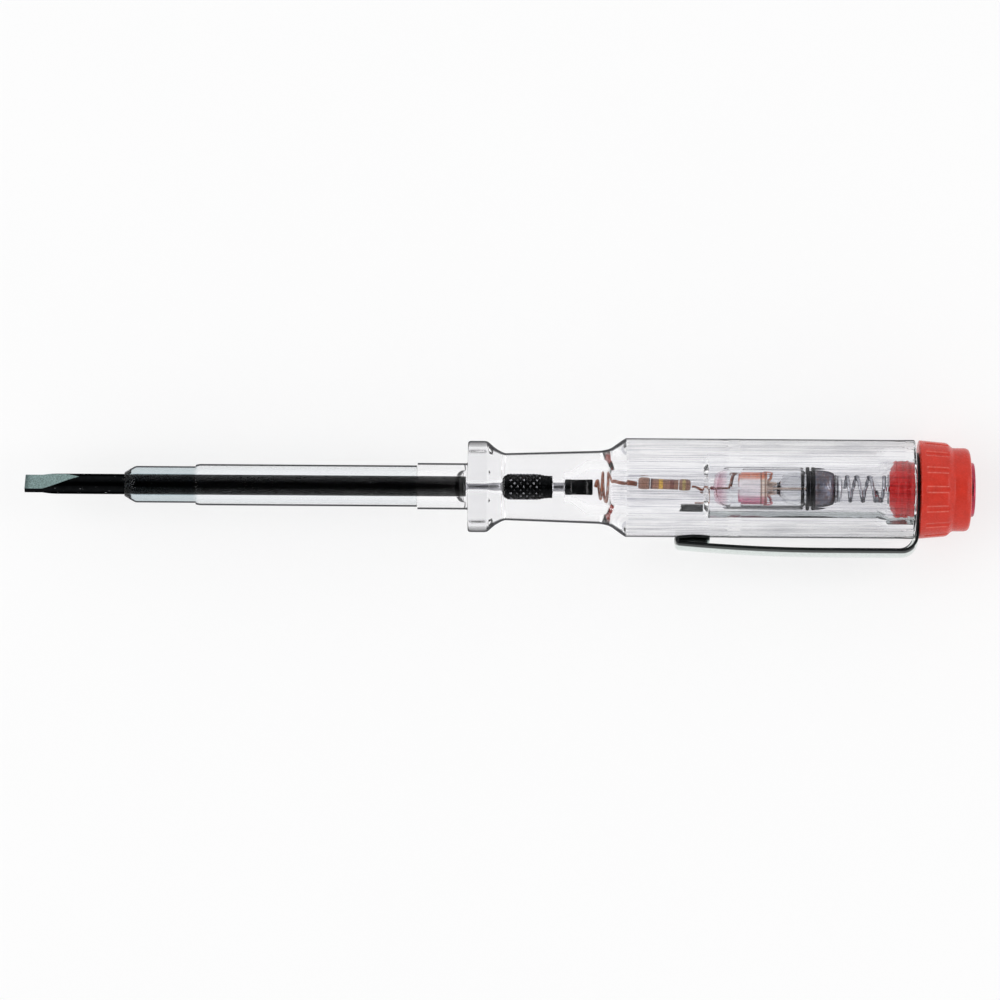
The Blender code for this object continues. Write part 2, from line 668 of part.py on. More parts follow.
def make_lamp_stem():
    """Flared glass stem that carries the pin electrode."""
    rear = LAMP_CAP_FRONT + ENVELOPE_NECK_LENGTH - FIT
    front = rear - STEM_LENGTH
    foot = LAMP_GLASS_NECK_RADIUS - GLASS_WALL - FIT
    flare = STEM_FLARE_RADIUS
    top_share, middle_share, flare_share = STEM_NECK_SHARES
    turned("lamp_stem", [
        (foot, rear),
        (foot, LAMP_CAP_FRONT - GLASS_WALL - ENVELOPE_NECK_CONE),
        (flare, LAMP_CAP_FRONT - 3 * ENVELOPE_NECK_CONE - GLASS_WALL),
        (flare, front + STEM_LENGTH * flare_share),
        ((flare + STEM_TOP_RADIUS) / 2, front + STEM_LENGTH * middle_share),
        (STEM_TOP_RADIUS, front + STEM_LENGTH * top_share),
        (STEM_TOP_RADIUS, front),
        (STEM_HOLE_RADIUS, front),
        (STEM_HOLE_RADIUS, rear),
    ], TINY_STEPS, "lamp_glass", closed=True)


def make_electrodes():
    """A ring electrode, and the pin electrode in its middle."""
    ring_front = LAMP_FRONT + RING_FRONT_SETBACK
    ring_rear = ring_front + RING_LENGTH
    turned("ring_electrode", [
        (RING_RADIUS, ring_rear),
        (RING_RADIUS, ring_front),
        (RING_RADIUS - RING_WALL, ring_front),
        (RING_RADIUS - RING_WALL, ring_rear),
    ], SMALL_STEPS, "nickel", closed=True)
    pin_front = ring_front + PIN_SETBACK
    stem_front = LAMP_CAP_FRONT + ENVELOPE_NECK_LENGTH - FIT - STEM_LENGTH
    turned("pin_electrode", [
        (0, INSULATOR_REAR - FIT),
        (PIN_STEM_RADIUS, INSULATOR_REAR - FIT),
        (PIN_STEM_RADIUS, stem_front - FIT),
        (PIN_RADIUS, stem_front - FIT),
        (PIN_RADIUS, pin_front + PIN_RADIUS / 2),
        (PIN_RADIUS / 2, pin_front),
        (0, pin_front),
    ], TINY_STEPS, "nickel")


def make_lamp_lead():
    """The wire from the ring electrode, out through the glass and folded back below."""
    ring_front = LAMP_FRONT + RING_FRONT_SETBACK
    ring_middle = RING_RADIUS - RING_WALL / 2
    r = LAMP_LEAD_RADIUS
    inner_bend = LAMP_FRONT + PIP_LENGTH + LAMP_NOSE_LENGTH
    outer_bend = LAMP_FRONT - SEAT - 2 * r
    drop = LAMP_LEAD_DROP
    wire("lamp_lead", [
        (0, ring_middle, ring_front - SEAT),
        (0, ring_middle, ring_front - SEAT - r),
        (0, ring_middle * LAMP_LEAD_ELBOW_SHARE, ring_front - SEAT - 3 * r),
        (0, r, inner_bend + r),
        (0, 0, inner_bend - r),
        (0, 0, outer_bend + 2 * r),
        (0, -r / 2, outer_bend + r / 2),
        (0, -2 * r, outer_bend),
        (0, -drop + 2 * r, outer_bend),
        (0, -drop + r, outer_bend - r / 2),
        (0, -drop, outer_bend - 2 * r),
        (0, -drop, outer_bend - LAMP_LEAD_FOLD),
    ], r, "tinned_wire")


def make_lamp_cap():
    """Metal cap of the lamp, with two rims, its insulator and its end contact."""
    flange = LAMP_RADIUS + FLANGE_RISE
    bore = LAMP_GLASS_NECK_RADIUS + FIT
    groove_front = LAMP_CAP_FRONT + FLANGE_WIDTH
    groove_rear = groove_front + FLANGE_GROOVE_WIDTH
    end = LAMP_DOME_END_RADIUS
    hole = end - CAP_SHELL_WALL
    outside = list(reversed(quarter(end, LAMP_RADIUS - end, FLANGE_REAR, LAMP_DOME_LENGTH)))
    inside = quarter(hole, bore - hole, FLANGE_REAR, LAMP_DOME_LENGTH - CAP_SHELL_WALL)
    turned("lamp_cap", outside + [
        (flange, FLANGE_REAR),
        (flange, groove_rear),
        (flange - FLANGE_GROOVE_DEPTH, groove_rear),
        (flange - FLANGE_GROOVE_DEPTH, groove_front),
        (flange, groove_front),
        (flange, LAMP_CAP_FRONT + FIT),
        (bore, LAMP_CAP_FRONT + FIT),
    ] + inside + [(hole, LAMP_CAP_REAR)], SMALL_STEPS, "lamp_shell", closed=True)
    rim_front = LAMP_CAP_REAR + FIT
    turned("lamp_insulator", [
        (LAMP_DOME_END_RADIUS, INSULATOR_REAR),
        (LAMP_DOME_END_RADIUS, rim_front),
        (INSULATOR_RADIUS, rim_front),
        (INSULATOR_RADIUS, LAMP_CAP_REAR - INSULATOR_DEPTH),
        (STEM_HOLE_RADIUS, LAMP_CAP_REAR - INSULATOR_DEPTH),
        (STEM_HOLE_RADIUS, INSULATOR_REAR),
    ], TINY_STEPS, "black_glass", closed=True)
    corner = (LAMP_CONTACT_RADIUS - LAMP_CONTACT_ROUND, LAMP_REAR - LAMP_CONTACT_ROUND)
    turned("lamp_contact", [(0, LAMP_REAR)] + rounded(corner, LAMP_CONTACT_ROUND, 90, 0) + [
        (LAMP_CONTACT_RADIUS, INSULATOR_REAR + FIT),
        (0, INSULATOR_REAR + FIT),
    ], TINY_STEPS, "solder")


def make_contact_spring():
    """Compression spring between the lamp's contact and the washer in the cap."""
    start = LAMP_REAR + SEAT + SPRING_WIRE_RADIUS
    end = WASHER_FRONT - SEAT - SPRING_WIRE_RADIUS
    closed_rise = SPRING_END_TURNS * SPRING_END_PITCH
    open_pitch = (end - start - 2 * closed_rise) / (SPRING_TURNS - 2 * SPRING_END_TURNS)
    count = round(SPRING_TURNS * SPRING_POINTS)
    points = []
    for index in range(count + 1):
        turn = SPRING_TURNS * index / count
        if turn < SPRING_END_TURNS:
            rise = turn * SPRING_END_PITCH
        elif turn < SPRING_TURNS - SPRING_END_TURNS:
            rise = closed_rise + (turn - SPRING_END_TURNS) * open_pitch
        else:
            rise = end - start - (SPRING_TURNS - turn) * SPRING_END_PITCH
        angle = 2 * math.pi * turn
        points.append((SPRING_RADIUS * math.cos(angle), SPRING_RADIUS * math.sin(angle), start + rise))
    wire("contact_spring", points, SPRING_WIRE_RADIUS, "spring_steel", 1)
    gap = least_gap(points, SPRING_WIRE_RADIUS, SPRING_POINTS // 2)
    print("contact spring, least gap to itself in mm:", gap * 1000)


def make_contacts():
    """The washer that the spring presses on, and the rivet that runs to the touch face."""
    turned("contact_washer", [
        (WASHER_RADIUS, WASHER_FRONT + WASHER_THICKNESS),
        (WASHER_RADIUS, WASHER_FRONT),
        (RIVET_END_RADIUS + FIT, WASHER_FRONT),
        (RIVET_END_RADIUS + FIT, WASHER_FRONT + WASHER_THICKNESS),
    ], TINY_STEPS, "spring_steel", closed=True)
    turned("touch_rivet", [
        (0, TOUCH_FACE),
        (TOUCH_RADIUS - TOUCH_EDGE, TOUCH_FACE),
        (TOUCH_RADIUS, TOUCH_FACE - TOUCH_EDGE),
        (TOUCH_RADIUS, CAP_REAR - TOUCH_RECESS + FIT),
        (RIVET_SHANK_RADIUS, CAP_REAR - TOUCH_RECESS + FIT),
        (RIVET_SHANK_RADIUS, PLUG_FRONT),
        (RIVET_END_RADIUS, PLUG_FRONT),
        (RIVET_END_RADIUS, WASHER_FRONT - RIVET_END_STAND),
        (0, WASHER_FRONT - RIVET_END_STAND),
    ], SMALL_STEPS, "touch_metal")


def make_end_cap():
    """Red cap whose plug closes the handle, with finger grooves round its skirt."""
    shoulder = CAP_FRONT + CAP_SKIRT_LENGTH
    top_corner = (CAP_TOP_RADIUS - CAP_TOP_ROUND, CAP_REAR - CAP_TOP_ROUND)
    profile = [(TOUCH_RADIUS + FIT, CAP_REAR)]
    profile += rounded(top_corner, CAP_TOP_ROUND, 90, 0, 4)
    profile.append((CAP_TOP_RADIUS, shoulder + CAP_STEP_LENGTH))
    shoulder_corner = (CAP_SHOULDER_RADIUS - CAP_SHOULDER_ROUND, shoulder - CAP_SHOULDER_ROUND)
    profile += rounded(shoulder_corner, CAP_SHOULDER_ROUND, 90, 0)
    profile += [
        (CAP_FRONT_RADIUS, CAP_FRONT + CAP_EDGE),
        (CAP_FRONT_RADIUS - CAP_EDGE, CAP_FRONT),
        (PLUG_RADIUS, CAP_FRONT),
        (PLUG_RADIUS, PLUG_FRONT + PLUG_CHAMFER_LENGTH),
        (PLUG_FRONT_RADIUS, PLUG_FRONT),
        (CAP_HOLE_RADIUS, PLUG_FRONT),
        (CAP_HOLE_RADIUS, CAP_REAR - TOUCH_RECESS),
        (TOUCH_RADIUS + FIT, CAP_REAR - TOUCH_RECESS),
    ]
    end_cap = turned("end_cap", profile, CAP_STEPS, "red_plastic", closed=True)
    pitch_radius = CAP_FRONT_RADIUS + CAP_GROOVE_CUTTER_RADIUS - CAP_GROOVE_DEPTH
    front = CAP_FRONT + CAP_GROOVE_SETBACK
    rear = shoulder + CAP_STEP_LENGTH
    cut(end_cap, groove_ring(
        "cap_grooves", CAP_GROOVE_COUNT, pitch_radius, CAP_GROOVE_CUTTER_RADIUS, front, rear, CAP_TAPER,
    ))


def clip_path():
    """Middle line of the clip's strip, as (radius, station) from its ring to its folded end."""
    ring_plane = CLIP_FRONT + SHEET / 2
    arm = BODY_RADIUS + CLIP_STAND
    bend = CLIP_BEND_RADIUS
    path = [(arm - bend, ring_plane)]
    for index in range(1, CLIP_BEND_STEPS + 1):
        angle = math.pi / 2 * index / CLIP_BEND_STEPS
        path.append((arm - bend + bend * math.sin(angle), ring_plane - bend + bend * math.cos(angle)))
    straight_end = ring_plane - bend - CLIP_STRAIGHT
    strip_half = CLIP_RING_RADIUS * math.sin(2 * math.pi * CLIP_HALF_STEPS / CLIP_RING_STEPS)
    edge_seat = math.sqrt(BODY_RADIUS ** 2 - strip_half ** 2) + SEAT
    crown = clip_crown(strip_half, CLIP_RING_RADIUS - SHEET / 2)
    flap = edge_seat + crown + SHEET / 2 + CLIP_FLAP_BOW
    tip = flap + 2 * CLIP_HEM_RADIUS
    for index in range(CLIP_SWEEP_STEPS + 1):
        part = index / CLIP_SWEEP_STEPS
        path.append((arm - (arm - tip) * part ** 2, straight_end - CLIP_SWEEP * part))
    hem_station = straight_end - CLIP_SWEEP
    for index in range(1, CLIP_HEM_STEPS + 1):
        angle = math.pi * index / CLIP_HEM_STEPS
        radius = flap + CLIP_HEM_RADIUS + CLIP_HEM_RADIUS * math.cos(angle)
        path.append((radius, hem_station - CLIP_HEM_RADIUS * math.sin(angle)))
    for index in range(1, CLIP_FLAP_STEPS + 1):
        part = index / CLIP_FLAP_STEPS
        dip = CLIP_FLAP_BOW * math.sin(math.pi * part)
        path.append((flap - dip, hem_station + CLIP_FLAP_LENGTH * part))
    return path


def clip_crown(across, radius):
    """How far the strip's curved section falls away at a distance from its middle."""
    return radius - math.sqrt(radius ** 2 - across ** 2)


def make_pocket_clip():
    """Sheet-metal clip: a ring round the plug, one bend, a crowned arm and a folded end."""
    work = bmesh.new()
    plane = CLIP_FRONT + SHEET / 2
    inner_ring = []
    outer_ring = []
    for index in range(CLIP_RING_STEPS):
        angle = -math.pi / 2 + 2 * math.pi * (index - CLIP_HALF_STEPS) / CLIP_RING_STEPS
        direction = Vector((math.cos(angle), math.sin(angle), 0))
        inner_ring.append(work.verts.new(direction * (PLUG_RADIUS + FIT) + Vector((0, 0, plane))))
        outer_ring.append(work.verts.new(direction * CLIP_RING_RADIUS + Vector((0, 0, plane))))
    for index in range(CLIP_RING_STEPS):
        after = (index + 1) % CLIP_RING_STEPS
        work.faces.new((inner_ring[index], outer_ring[index], outer_ring[after], inner_ring[after]))
    row = outer_ring[:2 * CLIP_HALF_STEPS + 1]
    widths = [vertex.co.x for vertex in row]
    for radius, station in clip_path():
        next_row = []
        for across in widths:
            crown = clip_crown(across, CLIP_RING_RADIUS)
            next_row.append(work.verts.new((across, crown - radius, station)))
        for index in range(len(row) - 1):
            work.faces.new((row[index], next_row[index], next_row[index + 1], row[index + 1]))
        row = next_row
    bmesh.ops.recalc_face_normals(work, faces=work.faces)
    mesh = bpy.data.meshes.new("pocket_clip")
    work.to_mesh(mesh)
    work.free()
    clip = place("pocket_clip", mesh, "chromed_sheet")
    sheet = clip.modifiers.new("sheet", "SOLIDIFY")
    sheet.thickness = SHEET
    sheet.offset = 0
    sheet.use_even_offset = True


def smooth_round_pieces():
    """Shade the turned pieces smooth but keep their corners sharp."""
    for piece in PARTS.objects:
        if piece.type == "MESH":
            piece.data.shade_smooth()
            piece.data.set_sharp_from_angle(angle=math.radians(35))


def main():
    make_blade_shank()
    make_sleeves()
    make_handle()
    make_resistor()
    make_resistor_leads()
    make_lamp_bulb()
    make_lamp_stem()
    make_electrodes()
    make_lamp_lead()
    make_lamp_cap()
    make_contact_spring()
    make_contacts()
    make_end_cap()
    make_pocket_clip()
    smooth_round_pieces()
    bpy.context.view_layer.update()


main()
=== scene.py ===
"""Voltage tester screwdriver: the looks of its pieces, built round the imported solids.

Every length is in metres. The tool's axis is +X from the blade's tip, +Z is up, and the pocket
clip lies on the -Y side. A turned piece is drawn as (station, radius) corners, where a station
is a distance from the blade's tip. Angles round the axis run from +Y towards +Z.
"""

import math
from collections import namedtuple

import bmesh
import bpy
import numpy as np
from bpy.props import FloatProperty, FloatVectorProperty, IntProperty, PointerProperty
from mathutils import Matrix, Vector


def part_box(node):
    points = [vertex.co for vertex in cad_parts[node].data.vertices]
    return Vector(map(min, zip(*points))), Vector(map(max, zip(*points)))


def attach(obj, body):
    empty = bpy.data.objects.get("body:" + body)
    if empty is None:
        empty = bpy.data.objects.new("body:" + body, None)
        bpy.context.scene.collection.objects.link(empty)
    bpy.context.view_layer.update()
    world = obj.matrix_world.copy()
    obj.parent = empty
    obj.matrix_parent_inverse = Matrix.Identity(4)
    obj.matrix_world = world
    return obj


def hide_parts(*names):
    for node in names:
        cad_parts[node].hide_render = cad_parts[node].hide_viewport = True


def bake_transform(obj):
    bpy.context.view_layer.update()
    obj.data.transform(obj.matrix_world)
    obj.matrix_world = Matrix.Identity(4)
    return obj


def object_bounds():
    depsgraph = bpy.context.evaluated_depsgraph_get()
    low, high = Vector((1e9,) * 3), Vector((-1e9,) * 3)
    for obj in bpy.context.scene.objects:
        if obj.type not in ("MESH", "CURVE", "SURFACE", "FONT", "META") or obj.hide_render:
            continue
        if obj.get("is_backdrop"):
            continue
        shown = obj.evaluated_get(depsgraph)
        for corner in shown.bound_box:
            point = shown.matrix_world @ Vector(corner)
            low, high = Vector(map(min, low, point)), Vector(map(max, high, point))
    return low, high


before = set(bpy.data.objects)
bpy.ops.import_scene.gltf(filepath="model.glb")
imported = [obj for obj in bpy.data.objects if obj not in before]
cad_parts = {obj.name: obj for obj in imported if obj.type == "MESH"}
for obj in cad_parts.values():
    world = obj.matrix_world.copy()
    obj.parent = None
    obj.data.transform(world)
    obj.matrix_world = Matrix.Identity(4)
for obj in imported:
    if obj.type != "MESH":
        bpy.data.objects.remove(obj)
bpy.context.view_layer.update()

bl_info = {
    "name": "Voltage Tester Screwdriver",
    "version": (1, 0, 0),
    "blender": (4, 5, 0),
    "location": "View3D > Sidebar > Tester",
    "description": "Builds a mains voltage tester piece by piece round its packed solids",
    "category": "Add Mesh",
}

MM = 0.001
FIT = 0.1 * MM
SEAT = 0.15 * MM


def front(node):
    """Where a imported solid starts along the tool."""
    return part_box(node)[0].x


def rear(node):
    """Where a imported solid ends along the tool."""
    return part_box(node)[1].x


def reach(node):
    """The greatest radius of a turned solid."""
    return -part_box(node)[0].z


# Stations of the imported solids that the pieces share
SLEEVE_FRONT = front("inner_sleeve")
SLEEVE_REAR = rear("inner_sleeve")
OUTER_SLEEVE_FRONT = front("outer_sleeve")
HANDLE_FRONT = front("handle")
HANDLE_REAR = rear("handle")
SHANK_REAR = rear("blade_shank")
LAMP_FRONT = front("lamp_bulb")
GLASS_REAR = rear("lamp_bulb")
RING_FRONT = front("ring_electrode")
RING_REAR = rear("ring_electrode")
PIN_FRONT = front("pin_electrode")
PIN_REAR = rear("pin_electrode")
STEM_FRONT = front("lamp_stem")
SHELL_FRONT = front("lamp_cap")
SHELL_REAR = rear("lamp_cap")
INSULATOR_REAR = rear("lamp_insulator")
LAMP_REAR = rear("lamp_contact")
WASHER_FRONT = front("contact_washer")
WASHER_REAR = rear("contact_washer")
PLUG_FRONT = front("end_cap")
CAP_REAR = rear("end_cap")
CLIP_REAR = rear("pocket_clip")
TOUCH_FACE = rear("touch_rivet")
CAP_FRONT = CLIP_REAR + FIT

# Stations along the handle's outside and its rings of flutes
GUARD_FRONT = HANDLE_FRONT + 7.4 * MM
GUARD_REAR = GUARD_FRONT + 2.8 * MM
NECK_FRONT = GUARD_REAR + 2.7 * MM
NECK_REAR = NECK_FRONT + 14.2 * MM
BODY_FRONT = NECK_REAR + 3.6 * MM
FRONT_FLUTES = (BODY_FRONT - 0.1 * MM, BODY_FRONT + 15.2 * MM)
REAR_FLUTES = (FRONT_FLUTES[1] + 1.4 * MM, HANDLE_REAR - 1.3 * MM)

# Stations along the shank's anchor and the pieces in the bore
POST_FRONT = SHANK_REAR - 4.1 * MM
KNURL_REAR = POST_FRONT - 1.8 * MM
KNURL_FRONT = KNURL_REAR - 7.4 * MM
ANCHOR_FRONT = KNURL_FRONT - 5.3 * MM
COIL_REAR = SHANK_REAR + 2.8 * MM
RESISTOR_FRONT = COIL_REAR + 3.8 * MM
LAMP_NOSE_REAR = LAMP_FRONT + 2.6 * MM

# The resistor's half length, how it lies, and the wires' radii
RESISTOR_HALF = 3.85 * MM
RESISTOR_OFFSET = 0.44 * MM
RESISTOR_TILT = math.radians(2.4)
LEAD_WIRE = 0.28 * MM
LAMP_WIRE = 0.24 * MM
COIL_RADIUS = 2.1 * MM

# The handle's mouth, and the cap's skirt, recess and plug
MOUTH_RADIUS = 4.55 * MM
CAP_SHOULDER = CAP_FRONT + 4.1 * MM
CAP_GROOVES = (CAP_FRONT + 0.6 * MM, CAP_SHOULDER + 0.5 * MM)
CAP_GROOVE_WIDTH = 0.92 * MM
CAP_GROOVE_DEPTH = 0.25 * MM
CAP_EDGE = 0.12 * MM
CAP_RECESS = 0.35 * MM
DISC_RECESS = 4.1 * MM
PLUG_RADIUS = 4.1 * MM

# The clip's ring and strip
CLIP_RING = 5.4 * MM
CLIP_STEPS, CLIP_HALF_STEPS = 120, 12

# Facets and edge rounding
FLAT_STEPS, ARC_STEPS = 8, 40
FLUTE_STEPS = 36
CAP_GROOVE_STEPS = 24
ROUND_STEPS = 96
MEDIUM_STEPS = 64
SMALL_STEPS = 48
WIRE_SIDES = 14
EDGE = 0.04 * MM
CREASE_DEGREES = 48
NO_SIZE = 1e-7

# The stage's middle along the tool
STAGE_MIDDLE = 0.07


def length(name, description, default):
    """A length that a user may change."""
    return FloatProperty(
        name=name, description=description, default=default, min=0.0, subtype="DISTANCE", unit="LENGTH",
        precision=5,
    )


def number(name, description, default):
    """A count of at least three."""
    return IntProperty(name=name, description=description, default=default, min=3)


def colour(name, description, default):
    """A colour that a user may change."""
    return FloatVectorProperty(
        name=name, description=description, default=default, size=3, min=0.0, max=1.0, subtype="COLOR",
    )


class TesterSizes(bpy.types.PropertyGroup):
    """Sizes of the pieces that a user may change."""

    shank_radius: length("Shank radius", "Radius of the blade's round shank", reach("blade_shank"))
    tip_thickness: length("Tip thickness", "Thickness of the blade between its ground flats", 0.8 * MM)
    tip_parallel: length("Tip parallel", "Length over which the flats are parallel", 2.6 * MM)
    grind_length: length("Grind length", "Length of the ground flats", 8.0 * MM)
    inner_sleeve: length("Inner sleeve radius", "Radius of the inner tube", reach("inner_sleeve"))
    outer_sleeve: length("Outer sleeve radius", "Radius of the outer tube", reach("outer_sleeve"))
    nose: length("Nose radius", "Radius of the handle's nose", 3.42 * MM)
    guard: length("Guard radius", "Radius of the guard before its flats are cut", 6.80 * MM)
    guard_corner: length("Guard corner radius", "Radius over the guard's corners", 6.87 * MM)
    guard_sides: number("Guard sides", "Flats round the guard", 10)
    neck_front: length("Neck front radius", "Radius of the waist behind the guard", 4.95 * MM)
    neck_rear: length("Neck rear radius", "Radius of the waist before the shoulder", 5.4 * MM)
    body: length("Body radius", "Radius of the handle's body", reach("handle"))
    flutes: number("Flutes", "Grooves round the body", 20)
    flute_depth: length("Flute depth", "Depth of a groove in the body", 0.032 * MM)
    flute_width: length("Flute width", "Width of a groove in the body", 1.16 * MM)
    resistor: length("Resistor radius", "Radius of the resistor's body", 0.85 * MM)
    lamp: length("Lamp radius", "Radius of the lamp's glass", reach("lamp_bulb"))
    spring_wire: length("Spring wire radius", "Radius of the spring's wire", 0.25 * MM)
    spring_turns: FloatProperty(name="Spring turns", description="Turns of the spring", default=3.5, min=2.0)
    cap: length("Cap radius", "Radius of the cap's front edge", reach("end_cap"))
    cap_grooves: number("Cap grooves", "Grooves round the cap", 15)
    clip_sheet: length("Clip sheet", "Thickness of the clip's sheet metal", 0.45 * MM)


class TesterColours(bpy.types.PropertyGroup):
    """Colours of the finishes that a user may change."""

    handle: colour("Handle", "Clear plastic of the handle", (0.99, 0.987, 0.998))
    sleeve: colour("Sleeve", "Clear plastic of the sleeves", (0.965, 0.973, 0.98))
    sleeve_front: colour("Sleeve front", "Duller front of the inner sleeve", (0.53, 0.61, 0.64))
    # Also the colour of the painted shade lines along the flute edges.
    streak_and_painted_shade: colour("Streaks", "Grey streaks and flute edges in the handle's body", (0.22, 0.225, 0.30))
    # Painted shade: the colour of the dark outline on the clear plastics' edges.
    rim: colour("Rim", "Edge tint of the clear plastics", (0.02, 0.02, 0.025))
    steel: colour("Steel", "Blackened steel of the shank", (0.006, 0.0065, 0.007))
    ground: colour("Ground steel", "Flats at the tip", (0.26, 0.365, 0.355))
    lacquer: colour("Lacquer", "Resistor's lacquer", (0.26, 0.135, 0.095))
    band: colour("Band", "Resistor's ochre band", (0.55, 0.33, 0.06))
    wire: colour("Wire", "Lead wires", (0.30, 0.125, 0.085))
    glass: colour("Glass", "Lamp's glass", (0.985, 0.99, 1.0))
    # Painted reflection: the pink at the lamp's tip.
    tip_pink_reflection: colour("Blush", "Tint at the lamp's tip", (0.80, 0.52, 0.60))
    electrode: colour("Electrode", "Nickel of the electrodes", (0.84, 0.79, 0.79))
    shell: colour("Shell", "Lamp's metal cap", (0.15, 0.155, 0.19))
    insulator: colour("Insulator", "Dark glass at the lamp's base", (0.10, 0.10, 0.11))
    solder: colour("Solder", "Lamp's end contact", (0.74, 0.76, 0.78))
    spring: colour("Spring", "Spring wire", (0.52, 0.53, 0.56))
    # The red of this metal is a painted reflection of the red plastic round it.
    touch: colour("Touch metal", "Rivet and its disc", (0.42, 0.055, 0.085))
    cap: colour("Cap", "Red plastic of the cap", (0.565, 0.038, 0.023))
    # Painted shade: the plug's deeper red stands in for its being seen inside the handle's mouth.
    plug: colour("Plug", "Deeper red of the cap's plug", (0.50, 0.010, 0.014))
    clip: colour("Clip", "Plated sheet of the clip", (0.70, 0.75, 0.73))
    # Near black for the cut edge, and the painted shade on the clip's sides and inside its fold.
    cut_edge_and_painted_shade: colour("Clip edge", "Worn sides and cut edge of the clip", (0.02, 0.022, 0.022))
    floor: colour("Floor", "Pale floor", (0.92, 0.92, 0.92))


# Mesh making


def eased(corners, rounding=EDGE, steps=3, closed=False):
    """The corners of a profile, each rounded; a third value in a corner is its own rounding."""
    points = []
    for index, corner in enumerate(corners):
        here = np.array(corner[:2])
        own = corner[2] if len(corner) > 2 else rounding
        if own == 0 or (not closed and index in (0, len(corners) - 1)):
            points.append(here)
            continue
        back = np.array(corners[index - 1][:2]) - here
        ahead = np.array(corners[(index + 1) % len(corners)][:2]) - here
        back_length, ahead_length = np.linalg.norm(back), np.linalg.norm(ahead)
        near = min(own, 0.45 * back_length, 0.45 * ahead_length)
        start = here + back * near / back_length
        end = here + ahead * near / ahead_length
        for step in range(steps + 1):
            part = step / steps
            points.append((1 - part) ** 2 * start + 2 * part * (1 - part) * here + part ** 2 * end)
    return points


def finished_mesh(name, work):
    """Turn mesh work into a mesh with outward faces and smooth shading."""
    bmesh.ops.recalc_face_normals(work, faces=work.faces)
    mesh = bpy.data.meshes.new(name)
    work.to_mesh(mesh)
    work.free()
    mesh.shade_smooth()
    return mesh


def skinned(name, rows, loop=False, finish_of=None):
    """A mesh through rows of points round the axis. A row of one point is a pole."""
    work = bmesh.new()
    rings = [[work.verts.new(point) for point in row] for row in rows]
    pairs = list(zip(rings, rings[1:]))
    if loop:
        pairs.append((rings[-1], rings[0]))
    for row, (near, far) in enumerate(pairs):
        count = max(len(near), len(far))
        for column in range(count):
            after = (column + 1) % count
            corners = (
                near[column % len(near)], far[column % len(far)],
                far[after % len(far)], near[after % len(near)],
            )
            face = work.faces.new(list(dict.fromkeys(corners)))
            if finish_of:
                face.material_index = finish_of(row, column)
    bmesh.ops.remove_doubles(work, verts=work.verts, dist=0.2e-6)
    bmesh.ops.dissolve_degenerate(work, edges=work.edges, dist=0.1e-6)
    mesh = finished_mesh(name, work)
    mesh.set_sharp_from_angle(angle=math.radians(CREASE_DEGREES))
    return mesh


def round_angles(steps):
    """Evenly spaced angles, once round."""
    return 2 * math.pi * np.arange(steps) / steps


def ring(station, radii, steps=ROUND_STEPS):
    """Points round the axis, at one radius or at one radius for each step. A ring of no size is a pole."""
    if np.isscalar(radii) and radii < NO_SIZE:
        return [(station, 0.0, 0.0)]
    angles = round_angles(steps)
    radii = np.broadcast_to(radii, angles.shape)
    return np.column_stack((np.full(steps, station), radii * np.cos(angles), radii * np.sin(angles)))


def ring_rows(points, steps):
    """A ring for each (station, radius) point."""
    return [ring(station, radius, steps) for station, radius in points]


def turned(name, corners, steps=ROUND_STEPS, closed=True):
    """A turned mesh from (station, radius) corners."""
    return skinned(name, ring_rows(eased(corners, closed=closed), steps), loop=closed)


def softened(first, second, softness):
    """The smaller of two radii, with a rounded change from one to the other."""
    return (first + second - np.sqrt((first - second) ** 2 + softness ** 2)) / 2


def beyond_end(station, start, end, width):
    """How far a station lies in the round end of a groove, past its straight part."""
    return max(start + width / 2 - station, station - end + width / 2, 0.0)


def from_nearest(angles, count):
    """Angles measured from the nearest of evenly spaced grooves."""
    pitch = 2 * math.pi / count
    return (angles + pitch / 2) % pitch - pitch / 2


def fluted(radius, station, steps, count, flutes, width, depth):
    """Radii round the axis at a station, with shallow round-ended flutes."""
    radii = np.full(steps, radius)
    beyond = 2 * beyond_end(station, *flutes, width) / width
    if beyond >= 1:
        return radii
    share = math.sqrt(1 - beyond ** 2)
    across = np.abs(from_nearest(round_angles(steps), count)) * radius / (share * width / 2)
    return radii - depth * math.sqrt(share) * np.clip(1 - across ** 2, 0, 1)


def grooved(radius, station, steps, count, grooves, width, depth, first, lean):
    """Radii round the axis at a station, with round-ended grooves. lean is how far their floor has sunk."""
    cutter = (width ** 2 / 4 + depth ** 2) / (2 * depth)
    beyond = beyond_end(station, *grooves, width)
    radii = np.full(steps, radius)
    if beyond >= width / 2:
        return radii
    local = cutter ** 2 - beyond ** 2
    centre = radius + cutter - depth - lean
    angles = from_nearest(round_angles(steps) - first, count)
    across = (centre * np.sin(angles)) ** 2
    inside = across < local
    floor = np.where(inside, centre * np.cos(angles) - np.sqrt(np.where(inside, local - across, 0)), radius)
    return np.minimum(radii, floor)


def groove_stations(start, end, width, steps=8):
    """Stations at which the rounded ends of a groove need rows."""
    runs = [width / 2 * (1 - math.cos(math.pi / 2 * step / steps)) for step in range(steps + 1)]
    return [start + run for run in runs] + [end - run for run in reversed(runs)]


def smooth_path(points, steps=6):
    """A wire's path through its points, with flowing bends between them."""
    points = [np.array(point, float) for point in points]
    ends = [2 * points[0] - points[1]] + points + [2 * points[-1] - points[-2]]
    path = []
    for a, b, c, d in zip(ends, ends[1:], ends[2:], ends[3:]):
        for step in range(steps):
            t = step / steps
            path.append(0.5 * (2 * b + (c - a) * t + (2 * a - 5 * b + 4 * c - d) * t ** 2
                               + (3 * b - a - 3 * c + d) * t ** 3))
    return path + [points[-1]]


